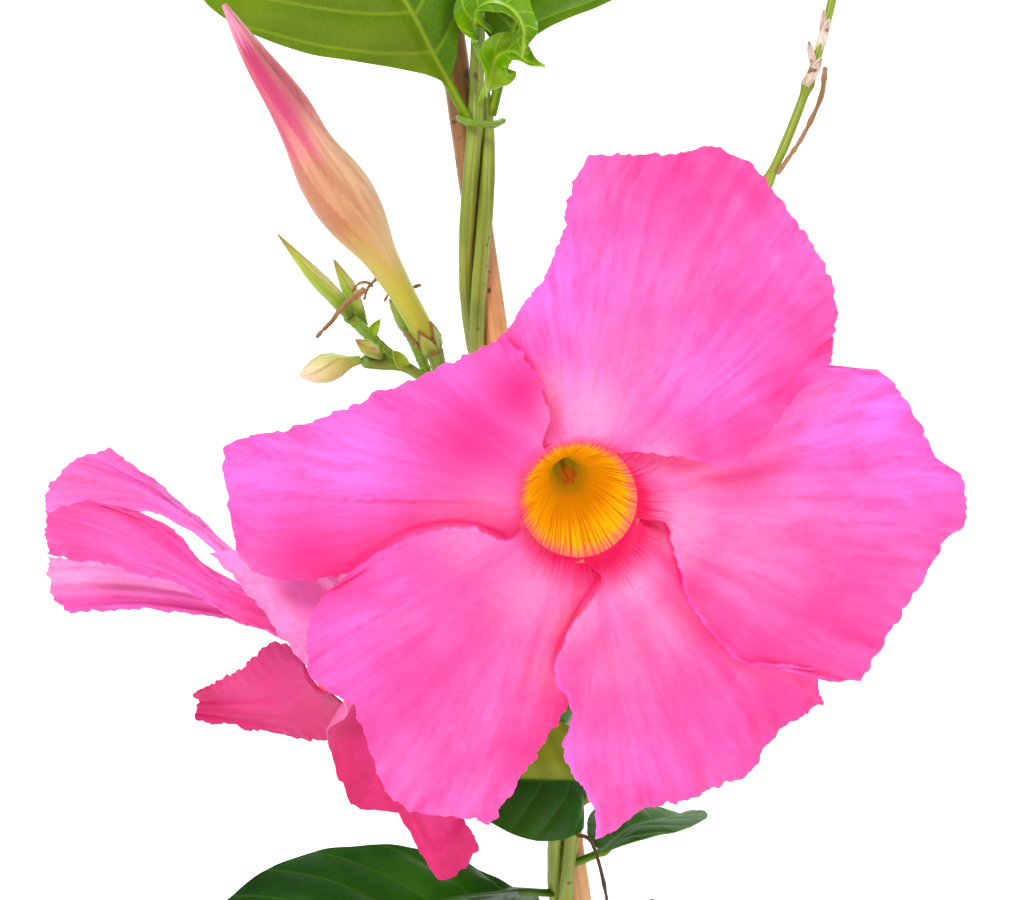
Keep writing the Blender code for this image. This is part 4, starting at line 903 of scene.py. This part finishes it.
budLine = [(-37.6, -31.0, 302.6), (-39.0, -32.2, 305.6), (-41.9, -34, 311), (-45.5, -37, 317.5),
    (-49.5, -40, 324), (-53, -42, 329.5), (-57, -44, 337), (-61.5, -46, 344.5), (-66, -48, 352.5)]
budRadii = [(0.0, 1.8), (0.12, 1.9), (0.25, 2.6), (0.36, 4.4), (0.44, 5.0), (0.52, 4.6), (0.6, 3.5),
    (0.66, 3.1), (0.78, 2.5), (0.9, 1.4), (0.97, 0.7), (1.0, 0.25)]


def bud(name, line, radii, finish, node, turns, furl, lobes, foldFrom, rows=90, columns=60):
    # a tube with a swelling profile; from foldFrom up each of its lobes laps over the next, so the radius
    # falls evenly round each lobe and steps back at its edge, and the lobes wind round the axis
    path = smoothLine(line, rows)
    s = np.linspace(0, 1, rows)
    radius = np.interp(s, *np.array(radii).T)
    radius = np.convolve(np.pad(radius, 4, mode="edge"), np.ones(9) / 9, "valid")

    def lap(turn, share):
        phase = (turn / fullTurn + turns * share) * lobes % 1.0
        return phase, ramp(share, foldFrom, foldFrom + 0.15)

    def swell(turn, share):
        phase, folded = lap(turn, share)
        ridge = 0.03 * np.cos(fullTurn * phase) * (1 - folded)
        return radius[:, None] * (furl * (0.5 - phase) * ramp(phase, 0.0, 0.08) * folded + ridge)

    points, faces, marks = tube(path, radius, columns, swell)
    along = marks["place"][:, 2]
    phase, folded = lap(marks["place"][:, 0] * fullTurn, along)
    row = np.clip(np.round(along * (rows - 1)).astype(int), 0, rows - 1)
    # painted highlight: paler on the side that faces the light, with paler lap edges of the bud's own
    # colour
    facingLight = ramp(unit(points - path[row]) @ unit(np.array((0.9, -0.35, 0.45))), 0.35, 0.95)
    pale = (0.6 * facingLight + 0.25 * (phase < 0.25)) * ramp(along, 0.16, 0.3)
    marks["paleAndLit"] = pale * (1 - 0.55 * ramp(along, 0.6, 0.72))
    # painted shade along the lap, where each lobe goes over the next
    crease = 0.75 * np.exp(-(phase / 0.06) ** 2) + 0.45 * np.exp(-((1 - phase) / 0.08) ** 2)
    marks["crease"] = crease * folded
    makePiece(name, [(points, faces, marks)], finish, [node])


for name in ("flowerClusterOne", "flowerClusterTwo"):
    skins = []
    for i, (line, start, end) in enumerate(stalks[name]["lines"]):
        radii = np.linspace(start, end, 90) + 0.06 * wander(np.linspace(0, 40, 90), 60 + i, 12, 3)
        radii += 0.3 * np.exp(-((np.linspace(0, 1, 90) - 1.0) / 0.08) ** 2)
        skins.append(tube(smoothLine(fixedLine(line), 90), roundEnds(radii, 0.02), 18))
    makePiece(name, skins, stalkGreen, [stalks[name]["node"]])
bracts = [bract(*spec, i) for i, spec in enumerate(stalks["bracts"])]
makePiece("clusterBracts", bracts, leafYoung, [])
bud("largeBud", budLine, budRadii, budBlush, "large_bud", 0.3, 0.5, 3, 0.58, 150, 120)
calyx("largeBud_calyx", (-36.2, -30.2, 299.9), (-0.463, -0.279, 0.841), "large_bud_calyx", 0.62)
smallBuds = {
    "smallBud_pointed": (
        [(-49.5, -29.8, 305.6), (-51.9, -30.5, 308.8), (-55.4, -31.4, 312.6), (-60.3, -32.6, 318.5)],
        [(0, 0.8), (0.15, 1.25), (0.35, 1.35), (0.55, 1.15), (0.8, 0.6), (1, 0.12)], budGreen),
    "smallBud_green": (
        [(-47.3, -28.2, 303.9), (-48.6, -27.9, 307), (-50.2, -27.5, 310.6), (-52.1, -27.1, 314.3)],
        [(0, 0.6), (0.3, 1.2), (0.6, 1.2), (0.85, 0.6), (1, 0.15)], budGreen),
    "smallBud_round": (
        [(-47.9, -30.4, 298.8), (-50.6, -31.1, 298.2), (-53.6, -31.8, 297.4), (-57.2, -32.7, 296.6)],
        [(0, 0.7), (0.15, 0.9), (0.35, 1.9), (0.58, 2.35), (0.8, 1.8), (0.94, 0.8), (1, 0.2)], budCream),
    "smallBud_lower": ([(-44.6, -31.3, 299.3), (-46.3, -33.0, 300.8), (-48.2, -34.9, 302.3)],
        [(0, 0.5), (0.3, 1.1), (0.6, 1.2), (0.85, 0.6), (1, 0.15)], budGreen),
    "spentCalyx": ([(-40.2, -26.1, 302.7), (-41.2, -26.1, 305.2), (-42.7, -26.0, 308.4)],
        [(0, 0.9), (0.2, 1.5), (0.5, 1.6), (0.8, 1.35), (0.95, 1.0), (1, 0.9)], calyxGreen)}
for name, (line, radii, finish) in smallBuds.items():
    bud(name, line, radii, finish, cadName(name), 0.2, 0.14, 5, 0.25)
threads = {
    "dryPedicel": ([(18.1, -23.6, 327.6), (21.6, -23.8, 333.0), (24.6, -23.2, 339), (25.6, -22.4, 344.5)],
        0.32, 0.42),
    "witheredStyle": (
        [(-54.4, -34.6, 302.6), (-52.0, -33.4, 305.2), (-50.0, -32.6, 307.7), (-46.8, -32.0, 310.0)], 0.24,
        0.5),
    "dryLeafStalk": (
        [("b", 213), (-10.2, -7.4, 212.5), (-8.2, -8.2, 206), (-6.8, -8.6, 196), (-6.6, -8.8, 186)], 0.34,
        0.22)}
for i, (name, (line, start, end)) in enumerate(threads.items()):
    radii = np.linspace(start, end, 70) + 0.08 * wander(np.linspace(0, 25, 70), 80 + i, 8, 2)
    skin = tube(smoothLine(fixedLine(line), 70), roundEnds(radii, 0.03), 12,
                lambda turn, s: 0.06 * np.sin(3 * turn + 14 * s))
    makePiece(name, [skin], dryDark if name == "dryLeafStalk" else dryBrown, [cadName(name)])
# shrivelled tips of fallen flowers that stick out behind the large bud
wisps = [[(-44.1, -29.0, 307.8), (-43.1, -30.0, 310.0), (-42.7, -31.0, 312.6), (-41.8, -30.0, 313.8)],
    [(-42.2, -28.0, 307.1), (-40.8, -29.0, 308.7), (-39.7, -30.0, 310.0), (-38.2, -31.0, 310.6)],
    [(-49.1, -30.0, 309.4), (-48.1, -31.0, 310.7), (-46.8, -31.0, 311.0), (-45.8, -30.0, 310.3)],
    [(-47.3, -29.0, 308.1), (-46.6, -30.0, 310.0), (-45.2, -31.0, 311.5), (-44.6, -31.0, 311.8)]]
skins = []
for i, line in enumerate(wisps):
    radii = 0.2 + 0.12 * np.linspace(0, 1, 40) ** 3 + 0.05 * wander(np.linspace(0, 9, 40), 90 + i, 4, 1)
    skins.append(tube(smoothLine(line, 40), roundEnds(radii, 0.06), 10))
makePiece("witheredWisps", skins, dryBrown, [])
print("stalks and buds made")

# leaves

# what grown and young leaves have in common; each leaf below says what differs
grownLeaf = {"half": 24, "fold": 12, "petiole": 0.12, "finish": leafDark, "step": 7.0, "wedge": 1.2,
    "fine": False, "backlit": (0.0, 0.0)}
youngLeaf = {**grownLeaf, "half": 4.0, "fold": 35, "petiole": 0.1, "finish": leafYoung, "step": 2.5}
leaves = {
    "leafTopLeft": {**grownLeaf, "from": ("a", 335.5), "half": 28, "fold": 7, "petiole": 0.09, "wedge": 1.6,
        "step": 7.5, "finish": leafMid, "fine": True, "backlit": (0.0, 0.28), "face": (0.2, -0.93, 0.3),
        "line": ((-36.4, -10.5, 346), (-42.6, -15.5, 357), (-54, -21, 374), (-69, -26, 388),
            (-85, -28, 395))},
    "leafTopRight": {**grownLeaf, "from": ("b", 337), "fold": 9, "step": 7.5, "finish": leafMid,
        "fine": True, "face": (-0.3, -0.85, 0.4),
        "line": ((-25.2, -1, 346), (-21.5, 2.5, 357), (-13, 8, 375), (-1, 12, 391), (12, 13, 400))},
    "leafMiddleRight": {**grownLeaf, "from": ("a", 250), "petiole": 0.14, "face": (0.1, -0.3, 0.95),
        "line": ((-7, 10, 259), (4, 24, 266), (17, 42, 267), (30, 58, 259), (38, 70, 246))},
    "leafMiddleLeft": {**grownLeaf, "from": ("b", 249), "half": 23, "petiole": 0.16,
        "face": (-0.1, -0.3, 0.95),
        "line": ((-29, 12, 257), (-38, 27, 264), (-46, 46, 264), (-52, 62, 255), (-57, 73, 242))},
    "leafBehindPetals": {**grownLeaf, "from": ("a", 219), "half": 10.5, "fold": 10, "petiole": 0.2,
        "step": 5.0, "fine": True, "backlit": (0.85, 0.0), "face": (0.05, -0.9, 0.45),
        "line": ((-11.8, -12.5, 221.5), (-12.2, -18, 226.3), (-17.5, -22.3, 228.2), (-27, -23.5, 228.6),
            (-38, -22, 227))},
    "leafLowerRight": {**grownLeaf, "from": ("b", 207.5), "half": 10, "fold": 13, "step": 5.0,
        "finish": leafFresh, "fine": True, "face": (0.0, 0.0, 1.0),
        "line": ((-8.4, -2.4, 209), (-5.6, 2, 209.8), (-2.1, 6, 210.6), (3, 10, 210.8), (6.4, 15, 210.4),
            (7.6, 22, 208.8))},
    "leafLowerLeft": {**grownLeaf, "from": ("a", 201.5), "half": 19, "fold": 10, "petiole": 0.1,
        "fine": True, "face": (-0.1, -0.5, 0.85),
        "line": ((-26, -12, 205), (-41, -20, 205), (-59, -27, 199), (-75, -33, 188), (-88, -37, 174))},
    "leafPotBackRight": {**grownLeaf, "from": ("a", 166), "face": (0.2, 0.2, 0.95),
        "line": ((-2, 12, 174), (8, 22, 180), (23, 36, 177), (37, 49, 164), (46, 58, 145))},
    "leafPotBackLeft": {**grownLeaf, "from": ("b", 170), "face": (-0.2, 0.2, 0.95),
        "line": ((-19, 9, 178), (-29, 20, 184), (-43, 35, 180), (-55, 49, 166), (-62, 58, 147))},
    "leafPotFrontRight": {**grownLeaf, "from": ("a", 139), "face": (0.2, -0.2, 0.95),
        "line": ((6, -9, 149), (16, -20, 156), (30, -35, 154), (43, -49, 143), (52, -58, 126))},
    "leafPotFrontLeft": {**grownLeaf, "from": ("a", 118), "half": 23, "face": (-0.2, -0.2, 0.95),
        "line": ((-6, -12, 128), (-16, -22, 134), (-31, -36, 134), (-45, -49, 125), (-54, -58, 119))},
    "youngLeafTip": {**youngLeaf, "from": (-29.9, -6.4, 368.6), "half": 3.4, "fold": 40,
        "face": (0.3, -0.8, 0.5),
        "line": ((-30, -8, 374), (-29, -9, 380), (-26, -10, 386))},
    "vineLeafLeft": {**youngLeaf, "from": (29.2, -11.0, 384.0), "face": (0.0, -0.6, 0.8),
        "line": ((23, -11, 388), (17, -11, 391), (11, -12, 388))},
    "vineLeafRight": {**youngLeaf, "from": (29.8, -11.0, 384.0), "face": (0.0, -0.6, 0.8),
        "line": ((35, -11, 389), (39, -10, 393), (44, -9, 392))},
    "youngLeafFront": {**youngLeaf, "from": (-29.5, -6.4, 346.6), "half": 4.6, "petiole": 0.12, "step": 2.2,
        "fine": True, "face": (0.3, -0.75, 0.6),
        "line": ((-30.4, -12, 351), (-28.2, -15, 354.6), (-24.6, -16, 354), (-22.4, -15, 350.8),
            (-22.4, -14, 346.2))},
    "youngLeafRight": {**youngLeaf, "from": ("a", 339), "half": 4.4, "fold": 45, "petiole": 0.12,
        "step": 2.2, "fine": True, "face": (0.5, -0.8, 0.3),
        "line": ((-27.9, -9.5, 342.5), (-26.9, -11.2, 346.2), (-24, -11.4, 347.2), (-21.5, -11.2, 345.6),
            (-18.6, -11, 345))}}


def leafSheet(spec, seed, rows, columns):
    # out from the midrib by the half width, sin(pi b^0.9)^1.2 along the blade; both halves lifted by the
    # fold angle, sunk along the veins and puffed between them, and waved at the margin
    line = smoothLine(fixedLine([spec["from"], *spec["line"]]), rows)
    length = np.linalg.norm(np.diff(line, axis=0), axis=1).sum()
    share = np.linspace(0, 1, rows)
    blade = np.clip((share - spec["petiole"]) / (1 - spec["petiole"]), 0, 1)
    widest, step = spec["half"], spec["step"]
    young = widest < 10
    stalk = 0.45 if young else 0.8
    half = np.maximum(stalk * (1 - 0.75 * blade), widest * np.sin(np.pi * blade ** 0.9) ** spec["wedge"])
    along = unit(np.gradient(line, axis=0))
    side = unit(np.cross(along, np.array(spec["face"], float)))
    normal = np.cross(side, along)
    t = np.linspace(1, -1, columns)
    t = (np.sign(t) * np.abs(t) ** 1.15)[None, :]
    across = t * half[:, None]
    out = np.abs(across)
    below = (share * length)[:, None]
    inBlade = ramp(blade, 0.0, 0.06)[:, None]
    sway = 0.03 * widest * wander(below, seed, 60, 20, 4)
    phase = (below - 0.55 * out - 0.012 * out ** 2 + 0.8 * (t > 0)) / step
    vein = 0.5 - np.abs(phase % 1.0 - 0.5)
    puff = 0.09 * step * np.sqrt(np.sin(np.pi * vein)) * inBlade
    puff *= ramp(out, 0.5, 3.0) * (1 - 0.6 * np.abs(t) ** 3)
    waves, longest, shortest = (0.16, 12, 4) if young else (0.035, 45, 9)
    margin = waves * widest * np.abs(t) ** 3 * wander(below + 40.0 * (t > 0), seed + 1, longest, shortest)
    groove = -0.45 * np.exp(-(out / 0.8) ** 2) * inBlade * (0.3 if young else 1.0)
    fold = math.radians(spec["fold"])
    lift = out * math.sin(fold) - 0.10 * out ** 2 / widest + puff
    lift = lift + margin * inBlade + groove + sway * inBlade
    surface = line[:, None] + side[:, None] * (across * math.cos(fold))[..., None]
    surface = surface + normal[:, None] * lift[..., None]
    ridge = (0.5 if young else 1.1) * np.exp(-(out / 0.7) ** 2) * (1 - 0.85 * blade[:, None])
    # painted light: daylight shines through one half of some blades, drawn as a lighter colour; its share
    # on the near and the far half
    near, far = spec["backlit"]
    backlit = np.where(t > 0, near, far) * ramp(out, 0.0, 0.35) * (0.75 + 0.25 * (2 * vein))
    marks = {"place": stacked(out, below, phase), "backlit": backlit}
    return thickSheet(surface, (0.22 if young else 0.32) + ridge, marks)


for i, (name, spec) in enumerate(leaves.items()):
    young = spec["half"] < 10
    size = ((90, 41) if young else (130, 61)) if spec["fine"] else ((60, 25) if young else (90, 37))
    blade = leafSheet(spec, 100 + 3 * i, *size)
    makePiece(name, [blade], spec["finish"], [cadName(name)])
print("leaves made")

# pot and soil

pot = {"height": 112.0, "foot": 45.0, "rim": 65.0, "band": 17.0, "wall": 2.2, "floor": 3.0, "drain": 4.0,
    "drainCircle": 29.0, "drains": 6, "soilTop": 101.0, "dome": 2.0}


def buildPot():
    # the wall's section carried round the pot's axis, then six drain holes cut through its floor
    foot, rim, height, floor = (pot[key] for key in ("foot", "rim", "height", "floor"))
    lip = rim - 3.5 - pot["wall"]
    slope = (lip - foot) / height
    bandFoot = height - pot["band"]
    innerFoot = foot - pot["wall"] + slope * floor
    section = [(0.6, 0.0), (foot - 6.0, 0.0), (foot - 5.0, 0.5), (foot - 2.4, 0.5), (foot - 1.6, 0.0),
               (foot - 0.4, 0.25), (foot + 0.4, 1.5), (foot + 1.2, 8.0), (foot + slope * 50 + 0.5, 50.0),
               (foot + slope * bandFoot - 0.2, bandFoot - 1.5),
               (foot + slope * bandFoot + 0.6, bandFoot - 0.2),
               (rim - 2.2, bandFoot), (rim - 1.3, bandFoot + 0.5), (rim - 1.0, bandFoot + 1.6),
               (rim - 0.5, height - 5.0), (rim, height - 4.0), (rim, height - 1.2),
               (rim - 0.5, height - 0.3), (rim - 1.4, height),
               (lip + 1.0, height), (lip + 0.2, height - 0.3), (lip - 0.3, height - 1.2),
               (innerFoot + slope * 50, 50.0), (innerFoot + 1.0, floor + 3.0),
               (innerFoot - 1.5, floor + 0.2), (20.0, floor), (0.6, floor)]
    skin = spun(section, (0, 0, 0), (0, 0, 1), 192)
    made = makePiece("potClay", [skin], potClay, ["pot"], 35)
    for i in range(pot["drains"]):
        angle = 2 * math.pi * (i + 0.5) / pot["drains"]
        place = (math.cos(angle) * pot["drainCircle"], math.sin(angle) * pot["drainCircle"], 0)
        points, faces, _ = spun([(pot["drain"], -9.0), (pot["drain"], 9.0)], place, (0, 0, 1), 32)
        cutter = newObject("drainCutter", bpy.data.meshes.new("drainCutter"))
        cutter.data.from_pydata((points * 0.001).tolist(), [], [f for s in faces for f in s.tolist()])
        cut = made.modifiers.new("drain", "BOOLEAN")
        cut.operation, cut.solver, cut.object = "DIFFERENCE", "EXACT", cutter
        bpy.context.view_layer.objects.active = made
        bpy.ops.object.modifier_apply(modifier="drain")
        bpy.data.objects.remove(cutter)
    return innerFoot, lip


def lumps(count, seed, size, spread, flat, height):
    # small rough stones: an eight by six ball for each, stretched, turned about Z and dented by a wave
    rng = np.random.default_rng(seed)
    turn = around(8)
    tilt = np.linspace(0.12, np.pi - 0.12, 6)[:, None]
    ball = stacked(np.sin(tilt) * np.cos(turn), np.sin(tilt) * np.sin(turn), np.cos(tilt))
    out = []
    for _ in range(count):
        radius = spread * math.sqrt(rng.uniform(0.01, 1.0))
        angle, spin, scale = rng.uniform(0, 6.283), rng.uniform(0, 6.283), rng.uniform(*size)
        stretch = np.array([rng.uniform(0.8, 1.5), rng.uniform(0.6, 1.0), rng.uniform(*flat)])
        rough = 1.0 + 0.16 * np.sin(ball @ rng.uniform(-4, 4, 3) + rng.uniform(0, 6))
        lump = ball * rough[..., None] * stretch * scale
        c, w = math.cos(spin), math.sin(spin)
        x, y, z = np.moveaxis(lump, -1, 0)
        lump = stacked(x * c - y * w, x * w + y * c, z)
        x, y = radius * math.cos(angle), radius * math.sin(angle)
        out.append(ringSkin((lump + (x, y, height(x, y) + 0.25 * scale))[::-1], {"place": lump[::-1]}))
    return out


def buildSoil(innerFoot, lip):
    # a domed top, roughened by waves of several lengths, down to the pot's floor
    slope = (lip - 0.3 - innerFoot) / (pot["height"] - 1.2 - pot["floor"])
    edgeTop = pot["soilTop"] - pot["dome"]
    edge = innerFoot + slope * (edgeTop - pot["floor"]) - 0.35

    def top(x, y):
        dome = pot["soilTop"] - pot["dome"] * (np.hypot(x, y) / edge) ** 2
        rough = 0.7 * wander(x + 0.6 * y, 301, 22, 4) * wander(y - 0.4 * x, 302, 24, 4)
        return dome + rough + 0.3 * wander(x - 0.9 * y, 303, 7, 2) * wander(y + 0.8 * x, 304, 8, 2) - 0.5

    radius = [*np.linspace(0.4, edge - 0.3, 90), edge, edge - 0.05, innerFoot - 0.4, 0.4]
    radius = np.array(radius)[:, None]
    turn = around(180)
    x, y = radius * np.cos(turn), radius * np.sin(turn)
    z = top(x, y)
    z[90:] = np.array([edgeTop - 1.4, edgeTop - 3.0, pot["floor"] + 0.4, pot["floor"] + 0.4])[:, None]
    rings = stacked(x, y, z)
    skin = ringSkin(rings[::-1], {"place": rings[::-1]})
    makePiece("soilPeat", [skin], soilPeat, ["soil"], 80)
    chips = lumps(260, 7, (0.9, 2.3), edge - 4, (0.3, 0.6), top)
    makePiece("soilBarkChips", chips, barkChip, [], 30)
    grains = lumps(120, 8, (0.5, 1.3), edge - 3, (0.7, 1.0), top)
    makePiece("soilPerliteGrains", grains, perlite, [], 40)


buildSoil(*buildPot())
print("pot and soil made")

# floor, light and camera

studio = {"floorHalf": 2500.0, "back": 900.0, "bend": 500.0, "wallTop": 2600.0, "room": 0.42,
    "camera": (-24.0, -367.1, 331.75), "down": 8.0, "lens": 75.5, "aim": (-20.0, -30.0, 250.0),
    # place, edge length, watts and colour
    "lamps": {"keyLight": ((-450, -850, 950), 330, 8.5, (1.0, 0.985, 0.96)),
        "fillLight": ((700, -800, 350), 800, 3.0, (0.97, 0.98, 1.0)),
        "backLight": ((300, 700, 900), 700, 4.0, (1.0, 1.0, 1.0))}}


def buildStudio():
    # a floor that bends up into a wall behind, from one profile; y and z only
    turn = np.linspace(0, math.pi / 2, 24)
    half, back, bend = studio["floorHalf"], studio["back"], studio["bend"]
    y = np.concatenate([[-half], back + bend * np.sin(turn), [back + bend]])
    z = np.concatenate([[0.0], bend * (1 - np.cos(turn)), [studio["wallTop"]]])
    x = np.array([-half, half])
    rings = stacked(x, y[:, None], z[:, None])
    mesh = bpy.data.meshes.new("paperSweep")
    mesh.from_pydata((rings.reshape(-1, 3) * 0.001).tolist(), [], gridQuads(len(y), 2)[:, ::-1].tolist())
    mesh.shade_smooth()
    sweep = newObject("paperSweep", mesh)
    paper = newFinish("paperWhite", 0.9, Base_Color=linear("FBFBFB"), Specular_IOR_Level=0.1,
                      Emission_Color=linear("FFFFFF"), Emission_Strength=0.55)
    mesh.materials.append(paper[0])
    for name, (place, size, watts, colour) in studio["lamps"].items():
        light = bpy.data.lights.new(name, "AREA")
        light.energy, light.size, light.color = watts, size * 0.001, colour
        lamp = newObject(name, light)
        lamp.location = [c * 0.001 for c in place]
        aim = np.array(studio["aim"]) - np.array(place, float)
        tilt = math.atan2(math.hypot(aim[0], aim[1]), -aim[2])
        lamp.rotation_euler = (tilt, 0.0, math.atan2(-aim[0], aim[1]))
    world = bpy.data.worlds.new("softWhiteRoom")
    world.use_nodes = True
    background = world.node_tree.nodes["Background"]
    background.inputs["Color"].default_value = linear("FFFFFF")
    background.inputs["Strength"].default_value = studio["room"]
    bpy.context.scene.world = world
    bpy.context.scene.view_settings.view_transform = "Standard"
    camera = newObject("photoCamera", bpy.data.cameras.new("photoCamera"))
    camera.data.lens, camera.data.sensor_width, camera.data.sensor_fit = studio["lens"], 36.0, "HORIZONTAL"
    camera.data.clip_start, camera.data.clip_end = 0.01, 20.0
    camera.location = [c * 0.001 for c in studio["camera"]]
    camera.rotation_euler = (math.radians(90.0 - studio["down"]), 0.0, 0.0)
    bpy.context.scene.camera = camera


buildStudio()
bpy.context.view_layer.update()
